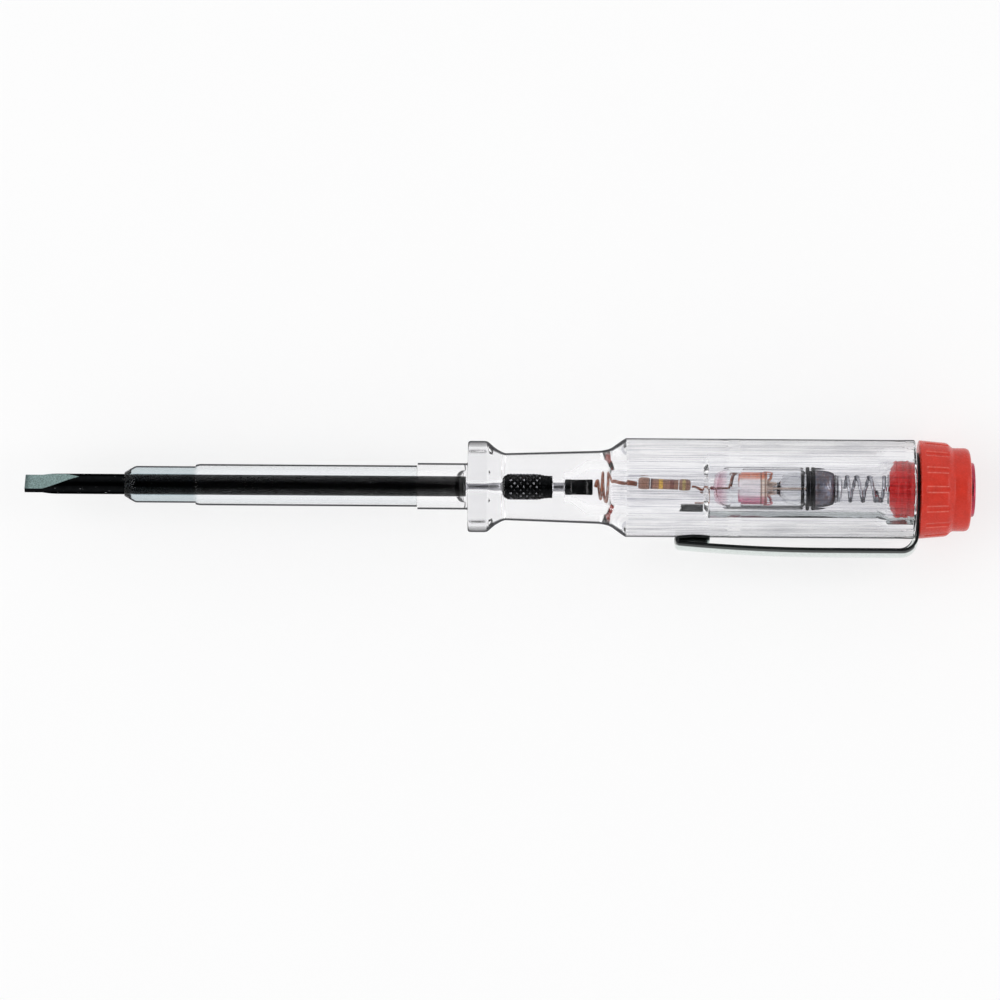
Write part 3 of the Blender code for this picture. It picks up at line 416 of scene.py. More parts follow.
def tube(name, path, radius, sides=WIRE_SIDES):
    """A round wire along a path, with rounded ends."""
    path = [Vector(point) for point in path]
    last = len(path) - 1
    middle_ring = [(1.0, 0.0)]
    # Each end has rings of (share of the radius, shift along the wire in radii)
    end_rings = {0: [(0.0, 0.0), (0.7, 0.08), (1.0, 0.4)], last: [(1.0, -0.4), (0.7, -0.08), (0.0, 0.0)]}
    heading = (path[1] - path[0]).normalized()
    across = heading.orthogonal().normalized()
    rows = []
    for index, point in enumerate(path):
        ahead = (path[min(index + 1, last)] - path[max(index - 1, 0)]).normalized()
        across = (heading.rotation_difference(ahead) @ across).normalized()
        heading = ahead
        up = heading.cross(across)
        for size, shift in end_rings.get(index, middle_ring):
            centre = point + heading * shift * radius
            if size == 0:
                rows.append([centre])
                continue
            angles = [2 * math.pi * side / sides for side in range(sides)]
            rows.append([centre + (across * math.cos(a) + up * math.sin(a)) * radius * size for a in angles])
    return skinned(name, rows)


def linked_object(name, data):
    """A new object in the scene."""
    item = bpy.data.objects.new(name, data)
    bpy.context.scene.collection.objects.link(item)
    return item


def even_shading(piece):
    """Let a piece's broad faces set the shading, so that its rounded edges don't bend it."""
    shading = piece.modifiers.new("even shading", "WEIGHTED_NORMAL")
    shading.keep_sharp = True
    shading.weight = 60


def add_piece(mesh, finishes, body, nodes=(), stand=None, shade=True):
    """Put a mesh in the scene with its finishes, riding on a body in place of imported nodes."""
    piece = linked_object(mesh.name, mesh)
    for finish in finishes:
        mesh.materials.append(finish)
    if stand:
        piece.matrix_world = stand
    if shade:
        even_shading(piece)
    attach(piece, body)
    if nodes:
        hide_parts(*nodes)
    return piece


# Finishes


def add_node(tree, kind, inputs=(), **settings):
    """A shader node with its settings and its inputs, each a value or another node's output."""
    node = tree.nodes.new("ShaderNode" + kind)
    for name, value in settings.items():
        setattr(node, name, value)
    for name, value in dict(inputs).items():
        join(tree, node.inputs[name], value)
    return node


def join(tree, socket, value):
    """Give an input a value, or link it to another node's output."""
    if isinstance(value, bpy.types.NodeSocket):
        tree.links.new(value, socket)
    elif hasattr(value, "__len__") and len(value) == 3 and socket.type == "RGBA":
        socket.default_value = (*value, 1.0)
    else:
        socket.default_value = value


def new_finish(name, inputs):
    """A material with one main shader. One that pieces already have is made anew in place."""
    finish = bpy.data.materials.get(name) or bpy.data.materials.new(name)
    finish.use_nodes = True
    tree = finish.node_tree
    tree.nodes.clear()
    shader = add_node(tree, "BsdfPrincipled", inputs)
    add_node(tree, "OutputMaterial", {"Surface": shader.outputs["BSDF"]})
    return finish, tree, shader


def place(tree):
    """A point of the piece in its own frame, in metres."""
    return add_node(tree, "TexCoord").outputs["Object"]


def axis_value(tree, axis):
    """One coordinate of the piece's own frame."""
    return add_node(tree, "SeparateXYZ", {"Vector": place(tree)}).outputs[axis]


def grain(tree, size, stretch=(1, 1, 1), detail=4.0):
    """Noise of about the given size, drawn out along the axes."""
    scale = tuple(1 / (size * part) for part in stretch)
    spread = add_node(tree, "Mapping", {"Vector": place(tree), "Scale": scale})
    noise = add_node(tree, "TexNoise", {
        "Vector": spread.outputs["Vector"], "Scale": 1.0, "Detail": detail, "Roughness": 0.55,
    })
    return noise.outputs["Fac"]


def ramp(tree, factor, *stops, interpolation="LINEAR"):
    """A colour ramp with (place, colour) stops."""
    node = add_node(tree, "ValToRGB", {"Fac": factor})
    bar = node.color_ramp
    bar.interpolation = interpolation
    while len(bar.elements) < len(stops):
        bar.elements.new(0.5)
    for element, (position, shade) in zip(bar.elements, stops):
        element.position = position
        element.color = (*shade, 1.0)
    return node.outputs["Color"]


def span(tree, value, low, high, to_low=0.0, to_high=1.0):
    """A value carried from one range to another."""
    node = add_node(tree, "MapRange", {
        "Value": value, "From Min": low, "From Max": high, "To Min": to_low, "To Max": to_high,
    })
    return node.outputs["Result"]


def blend(tree, factor, first, second, mode="MIX"):
    """Two colours mixed by a factor."""
    node = add_node(tree, "Mix", data_type="RGBA", blend_type=mode)
    join(tree, node.inputs["Factor"], factor)
    join(tree, node.inputs[6], first)
    join(tree, node.inputs[7], second)
    return node.outputs[2]


def maths(tree, operation, first, second=0.0):
    """The result of a sum on values of the tree."""
    node = add_node(tree, "Math", {0: first, 1: second}, operation=operation)
    return node.outputs["Value"]


def product(tree, first, *others):
    """Values multiplied together."""
    for other in others:
        first = maths(tree, "MULTIPLY", first, other)
    return first


def dimmed(tree, shade, share):
    """A colour made darker by a share that varies over the surface."""
    grey = add_node(tree, "CombineColor", {0: share, 1: share, 2: share}).outputs[0]
    return blend(tree, 1.0, shade, grey, "MULTIPLY")


def bumped(tree, shader, height, distance, strength=1.0):
    """Fine relief from a height."""
    bump = add_node(tree, "Bump", {"Height": height, "Distance": distance, "Strength": strength})
    join(tree, shader.inputs["Normal"], bump.outputs["Normal"])


def shaded(value, share):
    """A colour made darker or lighter by a share."""
    return tuple(min(1.0, part * share) for part in value)


def let_light_through(finish, tree, shader, tint):
    """Shadow rays pass the clear material, so that the pieces inside and the floor are lit."""
    path = add_node(tree, "LightPath")
    open_shader = add_node(tree, "BsdfTransparent", {"Color": tint})
    mixed = add_node(tree, "MixShader", {
        0: path.outputs["Is Shadow Ray"], 1: shader, 2: open_shader.outputs["BSDF"],
    })
    tree.links.new(mixed.outputs["Shader"], tree.nodes["Material Output"].inputs["Surface"])
    return finish


def from_axis(tree):
    """Distance from the tool's axis."""
    apart = add_node(tree, "SeparateXYZ", {"Vector": place(tree)})
    flat = add_node(tree, "CombineXYZ", {"Y": apart.outputs["Y"], "Z": apart.outputs["Z"]})
    return add_node(tree, "VectorMath", {0: flat.outputs["Vector"]}, operation="LENGTH").outputs["Value"]


def stepped(tree, first, *steps):
    """A value that changes at stations along the tool, given as (station, value)."""
    along = axis_value(tree, "X")
    value, before = first, first
    for station, after in steps:
        past = maths(tree, "GREATER_THAN", along, station)
        value = maths(tree, "ADD", value, product(tree, past, after - before))
        before = after
    return value


def from_groove_edge(tree, count, width, radius, first=0.0):
    """Distance round the axis from the nearest side of a groove, as a share of the grooves' spacing."""
    apart = add_node(tree, "SeparateXYZ", {"Vector": place(tree)})
    angle = maths(tree, "SUBTRACT", maths(tree, "ARCTAN2", apart.outputs["Z"], apart.outputs["Y"]), first)
    from_middle = maths(tree, "PINGPONG", product(tree, angle, count / (2 * math.pi)), 0.5)
    edge = width / 2 * count / (2 * math.pi * radius)
    return maths(tree, "ABSOLUTE", maths(tree, "SUBTRACT", from_middle, edge))


def clear_finish(name, tint, rim, painted_rim_start, skin, ior, roughness, flow, cast, gloss=0.6):
    """A clear material with a painted dark rim on its outer skin, faint flow lines and a slightly uneven
    polish. The rim is painted shade for the dark edges of the clear plastic.

    painted_rim_start and skin are values for stepped: how far a face turns away where its rim starts, and
    the radius outside which a face has one. cast gives the share and the colour of what clouds the
    material.
    """
    finish, tree, shader = new_finish(name, {
        "Transmission Weight": 1.0, "IOR": ior, "Specular Tint": (gloss, gloss, gloss),
    })
    lines = grain(tree, flow, (12, 1, 1))
    body = blend(tree, span(tree, lines, 0.35, 0.65), tint, shaded(tint, 0.985))
    cast_share, cast_colour = cast(tree)
    body = blend(tree, cast_share, body, cast_colour)
    # Painted shade: faces of the outer skin that turn away are darkened into a rim, in their colour and by a
    # dark diffuse shader.
    facing = add_node(tree, "LayerWeight", {"Blend": 0.5}).outputs["Facing"]
    start = stepped(tree, *painted_rim_start)
    turned_away = span(tree, facing, start, maths(tree, "ADD", start, 0.08))
    outside = maths(tree, "GREATER_THAN", from_axis(tree), stepped(tree, *skin))
    entering = maths(tree, "SUBTRACT", 1.0, add_node(tree, "NewGeometry").outputs["Backfacing"])
    painted_rim_share = product(tree, turned_away, outside, entering)
    join(tree, shader.inputs["Base Color"], blend(tree, painted_rim_share, body, rim))
    polish = grain(tree, 1.5 * MM, (3, 1, 1), 2.0)
    join(tree, shader.inputs["Roughness"], span(tree, polish, 0.3, 0.7, roughness * 0.5, roughness * 1.5))
    bumped(tree, shader, lines, 0.0008 * MM, 0.6)
    # Dark diffuse shader of the painted rim shade.
    edge = add_node(tree, "BsdfDiffuse", {"Color": rim})
    with_painted_rim = add_node(tree, "MixShader", {
        0: product(tree, painted_rim_share, 0.8), 1: shader.outputs["BSDF"], 2: edge.outputs["BSDF"],
    })
    return let_light_through(finish, tree, with_painted_rim.outputs["Shader"], shaded(tint, 1.015))


def painted_flute_edge_shade(tree, sizes):
    """Painted shade: a thin dark line along each side of the body's flutes, short of their round ends."""
    near = from_groove_edge(tree, sizes.flutes, sizes.flute_width, sizes.body)
    inset = 0.3 * MM
    along = stepped(
        tree, 0.0, (BODY_FRONT + inset, 1.0), (FRONT_FLUTES[1] - inset, 0.0), (REAR_FLUTES[0] + inset, 1.0),
        (REAR_FLUTES[1] - inset, 0.0),
    )
    skin = maths(tree, "GREATER_THAN", from_axis(tree), sizes.body - 0.2 * MM)
    return product(tree, span(tree, near, 0.034, 0.014, 0.0, 0.75), along, skin)


def handle_plastic(colours, sizes):
    """Clear moulding, with drawn-out grey streaks in its body, painted shade lines along its flute edges and
    a faint violet cast in its guard.
    """
    guard_front = GUARD_FRONT - FIT

    def streaked(tree):
        streaks = span(tree, grain(tree, 0.30 * MM, (30, 1, 1), 3.0), 0.49, 0.61, 0.0, 0.4)
        in_body = stepped(tree, 0.0, (BODY_FRONT, 1.0))
        in_guard = stepped(tree, 0.0, (guard_front, 0.1), (GUARD_REAR, 0.0))
        share = maths(tree, "ADD", product(tree, streaks, in_body), in_guard)
        # The flute edge lines are painted shade.
        return maths(tree, "MAXIMUM", share, painted_flute_edge_shade(tree, sizes)), colours.streak_and_painted_shade

    # Where the painted dark rim starts on the handle, station by station.
    painted_rim_start = (0.58, (guard_front, 0.662), (GUARD_REAR, 0.62), (BODY_FRONT, 0.74))
    skin = (3.2 * MM, (BODY_FRONT, 4.7 * MM))
    return clear_finish(
        "handle_plastic", colours.handle, colours.rim, painted_rim_start, skin, ior=1.49, roughness=0.02,
        flow=0.5 * MM, cast=streaked,
    )


def sleeve_plastic(colours):
    """Clear tube, duller in front of the second tube."""
    half_change = 0.4 * MM

    def duller(tree):
        ahead = span(
            tree, axis_value(tree, "X"), OUTER_SLEEVE_FRONT + half_change, OUTER_SLEEVE_FRONT - half_change,
        )
        speckle = span(tree, grain(tree, 0.25 * MM, (2, 1, 1)), 0.3, 0.75, 0.75, 1.0)
        return product(tree, ahead, speckle), colours.sleeve_front

    # colours.rim is the colour of the painted dark rim.
    skin = (2.2 * MM, (OUTER_SLEEVE_FRONT, 2.9 * MM))
    return clear_finish(
        "sleeve_plastic", colours.sleeve, colours.rim, (0.56,), skin, ior=1.46, roughness=0.012,
        flow=0.35 * MM, cast=duller, gloss=0.15,
    )


def lamp_glass(colours):
    """Thin glass, with a painted pink reflection at its drawn-down tip, and with no painted dark rim inside
    the lamp's shell.
    """
    # Painted reflection: pink towards the lamp's tip.
    def tip_painted_reflection(tree):
        towards_tip = span(tree, axis_value(tree, "X"), LAMP_NOSE_REAR, LAMP_FRONT + 0.6 * MM)
        patchy = span(tree, grain(tree, 0.8 * MM), 0.35, 0.65, 0.5, 1.0)
        return product(tree, towards_tip, patchy), colours.tip_pink_reflection

    beyond_all = 9 * MM
    skin = (2.9 * MM, (SHELL_FRONT, beyond_all))
    return clear_finish(
        "lamp_glass", colours.glass, colours.rim, (0.72,), skin, ior=1.5, roughness=0.01, flow=0.9 * MM,
        cast=tip_painted_reflection,
    )


Metal = namedtuple("Metal", "finish tree shader tone lines")


def metal_finish(name, tone, roughness, size, stretch=(1, 1, 1), spread=0.25, relief=0.004 * MM, edge=1.0):
    """A metal with uneven tone, drawn or brushed lines and a roughness that follows them."""
    finish, tree, shader = new_finish(name, {"Metallic": 1.0, "Specular Tint": (edge, edge, edge)})
    lines = grain(tree, size, stretch, 6.0)
    clouds = span(tree, grain(tree, size * 8, detail=2.0), 0.3, 0.7)
    uneven = ramp(tree, clouds, (0.0, shaded(tone, 1 - spread)), (1.0, shaded(tone, 1 + spread)))
    join(tree, shader.inputs["Base Color"], uneven)
    join(tree, shader.inputs["Roughness"], span(tree, lines, 0.3, 0.7, roughness * 0.7, roughness * 1.3))
    bumped(tree, shader, lines, relief, 0.5)
    return Metal(finish, tree, shader, uneven, lines)


def painted(metal, shade):
    """A metal's material, with another colour in place of its plain uneven tone."""
    join(metal.tree, metal.shader.inputs["Base Color"], shade)
    return metal.finish


def blackened_steel(colours):
    """Near-black steel with drawn lines and pale specks of wear, paler on the knurl's crests and thin necks:
    partly wear and bare steel, partly painted glints.
    """
    metal = metal_finish(
        "blackened_steel", colours.steel, roughness=0.2, size=0.1 * MM, stretch=(14, 1, 1), edge=0.25,
    )
    tree = metal.tree
    specks = span(tree, grain(tree, 0.3 * MM, (1.5, 1, 1), 2.0), 0.71, 0.76)
    rub_wear_and_painted_highlight = blend(tree, specks, metal.tone, (0.45, 0.46, 0.46))
    radius = from_axis(tree)
    # Paler knurl crests: partly wear, partly painted glints.
    on_knurl = stepped(tree, 0.0, (KNURL_FRONT + MM, 1.0), (POST_FRONT, 0.0))
    wear_and_glint_patches = span(tree, grain(tree, 0.6 * MM, detail=1.0), 0.45, 0.6, 0.05, 0.5)
    crests = product(tree, on_knurl, span(tree, radius, 1.2 * MM, 1.27 * MM), wear_and_glint_patches)
    # Paler thin necks: partly bare steel, partly painted highlights.
    in_handle = stepped(tree, 0.0, (ANCHOR_FRONT, 1.0))
    on_neck = maths(tree, "LESS_THAN", radius, 0.85 * MM)
    bare = product(tree, in_handle, on_neck, span(tree, metal.lines, 0.35, 0.65, 0.5, 1.0))
    return painted(metal, blend(tree, maths(tree, "MAXIMUM", crests, bare), rub_wear_and_painted_highlight, (0.50, 0.50, 0.53)))


def ground_steel(colours):
    """Flats fresh from the wheel: grey-green, mottled, with fine lines across, and darker at the edge."""
    metal = metal_finish("ground_steel", colours.ground, roughness=0.42, size=0.05 * MM, stretch=(1, 10, 10))
    tree = metal.tree
    mottle = span(tree, grain(tree, 0.16 * MM, detail=3.0), 0.35, 0.65)
    shade = blend(tree, mottle, shaded(colours.ground, 0.45), shaded(colours.ground, 1.15))
    from_tip = span(tree, axis_value(tree, "X"), 0.25 * MM, 0.9 * MM, 0.55, 1.0)
    return painted(metal, dimmed(tree, shade, from_tip))


def resistor_lacquer(colours):
    """Brown lacquer with an ochre band and three duller ones, read along the resistor's own axis."""
    finish, tree, shader = new_finish("resistor_lacquer", {"Coat Weight": 0.5, "Coat Roughness": 0.15})
    along = span(tree, axis_value(tree, "X"), -RESISTOR_HALF, RESISTOR_HALF)
    brown = colours.lacquer
    bands = ramp(
        tree, along, (0.0, brown), (0.20, (0.10, 0.05, 0.045)), (0.27, brown), (0.39, colours.band),
        (0.47, brown), (0.60, (0.16, 0.06, 0.05)), (0.68, brown), (0.84, (0.40, 0.30, 0.12)), (0.90, brown),
        interpolation="CONSTANT",
    )
    specks = span(tree, grain(tree, 0.22 * MM, detail=3.0), 0.38, 0.62, 0.55, 1.15)
    join(tree, shader.inputs["Base Color"], dimmed(tree, bands, specks))
    join(tree, shader.inputs["Roughness"], span(tree, grain(tree, 0.3 * MM), 0.3, 0.7, 0.3, 0.55))
    bumped(tree, shader, grain(tree, 0.25 * MM), 0.03 * MM, 0.6)
    return finish


def lead_wire(colours):
    """Tinned copper with bare reddish patches."""
    metal = metal_finish("lead_wire", colours.wire, roughness=0.32, size=0.12 * MM, stretch=(4, 1, 1))
    tin = span(metal.tree, grain(metal.tree, 0.5 * MM, detail=3.0), 0.52, 0.6)
    return painted(metal, blend(metal.tree, tin, metal.tone, (0.36, 0.28, 0.25)))


def electrode_metal(colours):
    """Nickel, pink towards -Y and orange towards +Y, pale between, and with two dark bands at its end."""
    metal = metal_finish(
        "electrode_metal", colours.electrode, roughness=0.55, size=0.15 * MM, stretch=(1, 6, 6), edge=0.7,
    )
    tree = metal.tree
    side = span(tree, axis_value(tree, "Y"), -2.5 * MM, 2.5 * MM)
    tints = ramp(
        tree, side, (0.0, (0.72, 0.06, 0.20)), (0.20, (0.80, 0.20, 0.36)), (0.34, (0.93, 0.86, 0.90)),
        (0.70, (0.94, 0.89, 0.90)), (0.78, (0.86, 0.26, 0.12)), (1.0, (0.82, 0.16, 0.08)),
    )
    uneven = span(tree, grain(tree, 0.4 * MM), 0.35, 0.65, 0.6, 1.0)
    shade = blend(tree, uneven, metal.tone, tints)
    heated = span(tree, axis_value(tree, "X"), RING_REAR - 1.1 * MM, RING_REAR - 0.1 * MM)
    bands = ramp(
        tree, heated, (0.0, (1, 1, 1)), (0.22, (0.30, 0.19, 0.14)), (0.38, (1, 0.9, 0.78)),
        (0.62, (1, 0.92, 0.8)), (0.80, (0.34, 0.22, 0.16)), (1.0, (0.8, 0.7, 0.6)),
    )
    return painted(metal, blend(tree, 1.0, shade, bands, "MULTIPLY"))


def lamp_shell(colours):
    """Dull dark plating, mottled brown and violet, with bright scratches and two rims darkened near black as
    painted shade.
    """
    metal = metal_finish(
        "lamp_shell", colours.shell, roughness=0.38, size=0.1 * MM, stretch=(1, 5, 5), edge=0.05,
    )
    tree = metal.tree
    patches = span(tree, grain(tree, 0.45 * MM, detail=5.0), 0.42, 0.6)
    dome = blend(tree, patches, metal.tone, (0.17, 0.135, 0.14))
    scratches = span(tree, grain(tree, 0.2 * MM, (1, 3, 3), 4.0), 0.62, 0.70)
    dome = blend(tree, scratches, dome, (0.6, 0.61, 0.66))
    # Painted shade: the shell's two rims are made near black.
    rim_painted_shade = stepped(
        tree, 1.0, (SHELL_FRONT + 0.5 * MM, 0.0), (SHELL_FRONT + 0.62 * MM, 1.0),
        (SHELL_FRONT + 1.35 * MM, 0.0),
    )
    return painted(metal, blend(tree, rim_painted_shade, dome, (0.02, 0.02, 0.022)))


def insulator_glass(colours):
    """Dark glass with pale flecks."""
    finish, tree, shader = new_finish("insulator_glass", {"Roughness": 0.12})
    tone = ramp(tree, grain(tree, 0.3 * MM), (0.42, colours.insulator), (0.60, (0.62, 0.63, 0.66)))
    join(tree, shader.inputs["Base Color"], tone)
    bumped(tree, shader, grain(tree, 0.2 * MM), 0.01 * MM)
    return finish


def solder_metal(colours):
    """Soft bright metal with a lumpy skin."""
    metal = metal_finish("solder_metal", colours.solder, roughness=0.36, size=0.25 * MM, relief=0.03 * MM)
    return metal.finish


def spring_steel(colours):
    """Grey spring wire, nearly smooth."""
    metal = metal_finish(
        "spring_steel", colours.spring, roughness=0.22, size=0.08 * MM, stretch=(5, 5, 5), edge=0.05,
    )
    return metal.finish


def touch_metal(colours):
    """Turned metal with concentric tool marks. Its red tone is a painted reflection of the surrounding red
    plastic.
    """
    metal = metal_finish("touch_metal", colours.touch, roughness=0.3, size=0.3 * MM)
    mark_pitch = 0.12 * MM
    marks = maths(metal.tree, "SINE", product(metal.tree, from_axis(metal.tree), 2 * math.pi / mark_pitch))
    bumped(metal.tree, metal.shader, marks, 0.004 * MM, 0.5)
    return metal.finish


def red_plastic(colours, sizes):
    """Moulded red plastic with a soft sheen, a fine, even grain and paler sides along its grooves, which are
    painted highlights.
    """
    finish, tree, shader = new_finish("red_plastic", {"IOR": 1.49, "Specular IOR Level": 0.22})
    clouds = span(tree, grain(tree, 1.2 * MM, (1, 1, 2), 3.0), 0.3, 0.7)
    tone = blend(tree, clouds, shaded(colours.cap, 0.88), shaded(colours.cap, 1.06))
    # Painted shade: the plug, inside the handle's mouth, is made a deeper red.
    plug_painted_shade = stepped(tree, 0.75, (CAP_FRONT - 0.2 * MM, 0.0))
    tone = blend(tree, plug_painted_shade, tone, colours.plug)
    # Painted highlight: the sides of the cap's grooves are made paler.
    near = from_groove_edge(tree, sizes.cap_grooves, CAP_GROOVE_WIDTH, sizes.cap, math.pi / 2)
    along = stepped(tree, 0.0, (CAP_GROOVES[0] + 0.2 * MM, 1.0), (CAP_SHOULDER - 0.1 * MM, 0.0))
    uneven = span(tree, grain(tree, 0.4 * MM, detail=2.0), 0.35, 0.65, 0.35, 1.0)
    rub_wear_and_painted_highlight = product(tree, span(tree, near, 0.042, 0.016, 0.0, 0.75), uneven, along)
    join(tree, shader.inputs["Base Color"], blend(tree, rub_wear_and_painted_highlight, tone, (0.74, 0.20, 0.16)))
    join(tree, shader.inputs["Roughness"], span(tree, grain(tree, 0.35 * MM), 0.3, 0.7, 0.2, 0.32))
    bumped(tree, shader, grain(tree, 0.16 * MM, detail=2.0), 0.006 * MM, 0.6)
    return finish


def clip_chrome(colours):
    """Bright plating with fine rub marks along the arm, with painted shade darkening its sides and the inside
    of the fold.
    """
    metal = metal_finish(
        "clip_chrome", colours.clip, roughness=0.13, size=0.07 * MM, stretch=(16, 2, 2), spread=0.06,
        relief=0.003 * MM,
    )
    tree = metal.tree
    fold_length, side_shade_share = 4.7 * MM, 0.92
    # Painted shade inside the fold.
    fold_shade_reach = stepped(tree, 1.0, (front("pocket_clip") + fold_length, 0.0))
    inner = span(tree, axis_value(tree, "Y"), -8.5 * MM, -8.2 * MM)
    folded = product(tree, fold_shade_reach, inner, span(tree, metal.lines, 0.3, 0.7, 0.85, 1.0))
    # Painted shade along the arm's sides.
    side_painted_shade = span(tree, maths(tree, "ABSOLUTE", axis_value(tree, "Z")), 2.62 * MM, 2.82 * MM)
    on_arm = stepped(tree, 1.0, (CLIP_REAR - 0.6 * MM, 0.0))
    dark = maths(tree, "MAXIMUM", folded, product(tree, side_painted_shade, on_arm, side_shade_share))
    return painted(metal, blend(tree, dark, metal.tone, colours.cut_edge_and_painted_shade))


def sheared_edge(colours):
    """The clip's cut edge: dark, partly as sheared steel and partly as painted shade, with fine shear lines
    across the sheet.
    """
    metal = metal_finish("sheared_edge", colours.cut_edge_and_painted_shade, roughness=0.35, size=0.1 * MM, stretch=(1, 6, 6))
    return metal.finish


def floor_finish(colours):
    """Pale, faintly uneven floor. Seen directly it is lifted towards white and keeps its shadow."""
    finish, tree, shader = new_finish("studio_floor", {"Roughness": 0.9})
    clouds = grain(tree, 30 * MM, detail=2.0)
    tone = ramp(tree, clouds, (0.3, shaded(colours.floor, 0.99)), (0.7, colours.floor))
    join(tree, shader.inputs["Base Color"], tone)
    path = add_node(tree, "LightPath")
    seen = maths(tree, "ADD", path.outputs["Is Camera Ray"], path.outputs["Is Glossy Ray"])
    seen = maths(tree, "ADD", seen, path.outputs["Is Transmission Ray"])
    lift = 0.6
    share = maths(tree, "MINIMUM", product(tree, seen, lift), lift)
    white = add_node(tree, "Emission", {"Color": (1.0, 1.0, 1.0), "Strength": 1.0})
    mixed = add_node(tree, "MixShader", {0: share, 1: shader.outputs["BSDF"], 2: white.outputs["Emission"]})
    tree.links.new(mixed.outputs["Shader"], tree.nodes["Material Output"].inputs["Surface"])
    return finish


# Pieces. Every build function takes the sizes and the colours, and some need only the colours


def shank_ring(station, half, radius):
    """Points round the shank where two flats, set diagonally, stand at half the thickness from its middle."""
    edge = math.acos(min(1.0, half / radius))
    points = []
    for sign in (1, -1):
        for step in range(FLAT_STEPS):
            part = 2 * step / FLAT_STEPS - 1
            points.append((sign * half, sign * part * radius * math.sin(edge)))
        for step in range(ARC_STEPS):
            angle = edge + (math.pi - 2 * edge) * step / ARC_STEPS
            points.append((sign * radius * math.cos(angle), sign * radius * math.sin(angle)))
    diagonal = math.sqrt(0.5)
    return [(station, (out + along) * diagonal, (out - along) * diagonal) for out, along in points]


def tip_rows(sizes):
    """Rows over the blade's ground tip, from its front face to the round shank."""
    radius, half = sizes.shank_radius, sizes.tip_thickness / 2
    start, end = sizes.tip_parallel, sizes.grind_length
    near, slope_rows = 0.1 * MM, 16
    stations = [0.0, 0.02 * MM, start - near, start + near]
    stations += [start + (end - start) * step / slope_rows for step in range(1, slope_rows + 1)]
    rows = [ring(0.0, 0.0)]
    for station in stations:
        rise = math.sin(math.pi / 2 * min(1.0, max(0.0, (station - start) / (end - start))))
        inset = 0.03 * MM if station == 0 else 0.0
        rows.append(shank_ring(station, half + (radius - half) * rise - inset, radius - inset))
    return rows


def ridges(turns):
    """Height of evenly spaced ridges, from 0 between two of them to 1 on their crests."""
    return np.abs(2 * (turns % 1) - 1)


def knurl_rows():
    """Rows over the knurled barrel: diamonds between two crossing sets of spiral grooves, and sunken ends."""
    steps, starts, pitch = 160, 10, 0.95 * MM
    root, crest = 0.98 * MM, 1.30 * MM
    start, count = KNURL_FRONT - 0.3 * MM, 90
    turns = np.arange(steps) / steps * starts
    rows = [ring(KNURL_FRONT - 1.0 * MM, 0.0), ring(KNURL_FRONT - 0.55 * MM, 0.75 * MM, steps)]
    for row in range(count + 1):
        part = row / count
        station = start + (KNURL_REAR - start) * part
        crossed = np.minimum(ridges(turns + station / pitch), ridges(turns - station / pitch))
        height = np.minimum(1.0, 1.5 * crossed)
        full = min(1.0, 0.2 + 4.5 * part, 0.25 + 2.6 * (1 - part))
        rows.append(ring(station, (root + (crest - root) * height) * (0.72 + 0.28 * full), steps))
    end = KNURL_REAR + 0.02 * MM
    return rows + [ring(end, 0.5 * MM, steps), ring(end, 0.0)]


def build_shank(sizes, colours):
    """The round shank with its ground tip, anchor and contact post, and the knurled barrel."""
    radius, neck, barrel, stem, post = sizes.shank_radius, 0.6 * MM, 1.1 * MM, 0.65 * MM, 1.15 * MM
    rows = tip_rows(sizes)
    ground_rows = len(rows) - 1
    profile = eased([
        (sizes.grind_length, radius), (ANCHOR_FRONT, radius), (ANCHOR_FRONT, neck),
        (ANCHOR_FRONT + 4.1 * MM, neck), (KNURL_FRONT, barrel), (KNURL_REAR, barrel), (KNURL_REAR, stem),
        (POST_FRONT, stem), (POST_FRONT, post, 0.15 * MM), (SHANK_REAR, post, 0.2 * MM), (SHANK_REAR, 0.0),
    ])
    rows += [shank_ring(station, size, size) for station, size in profile[1:-1]] + [ring(SHANK_REAR, 0.0)]

    def finish_of(row, column):
        on_flat = column % (FLAT_STEPS + ARC_STEPS) < FLAT_STEPS
        return 1 if on_flat and 1 <= row < ground_rows else 0

    finishes = [blackened_steel(colours), ground_steel(colours)]
    mesh = skinned("shank", rows, finish_of=finish_of)
    add_piece(mesh, finishes, "handle", ["blade_shank"])
    add_piece(skinned("anchor_knurl", knurl_rows()), finishes[:1], "handle")


def build_sleeves(sizes, colours):
    """The two clear tubes on the shank, each bevelled at its front."""
    finish, soft = sleeve_plastic(colours), 0.3 * MM
    bore, cone_rear = sizes.shank_radius + FIT, SLEEVE_FRONT + 1.6 * MM
    inner = turned("inner_tube", [
        (SLEEVE_REAR, sizes.inner_sleeve), (cone_rear, sizes.inner_sleeve, soft),
        (SLEEVE_FRONT, bore + 0.2 * MM), (SLEEVE_FRONT, bore), (SLEEVE_REAR, bore),
    ])
    add_piece(inner, [finish], "handle", ["inner_sleeve"])
    bore, bevel_rear = sizes.inner_sleeve + FIT, OUTER_SLEEVE_FRONT + 0.5 * MM
    outer = turned("outer_tube", [
        (SLEEVE_REAR, sizes.outer_sleeve), (bevel_rear, sizes.outer_sleeve, soft),
        (OUTER_SLEEVE_FRONT, (bore + sizes.outer_sleeve) / 2), (OUTER_SLEEVE_FRONT, bore),
        (SLEEVE_REAR, bore),
    ])
    add_piece(outer, [finish], "handle", ["outer_sleeve"])


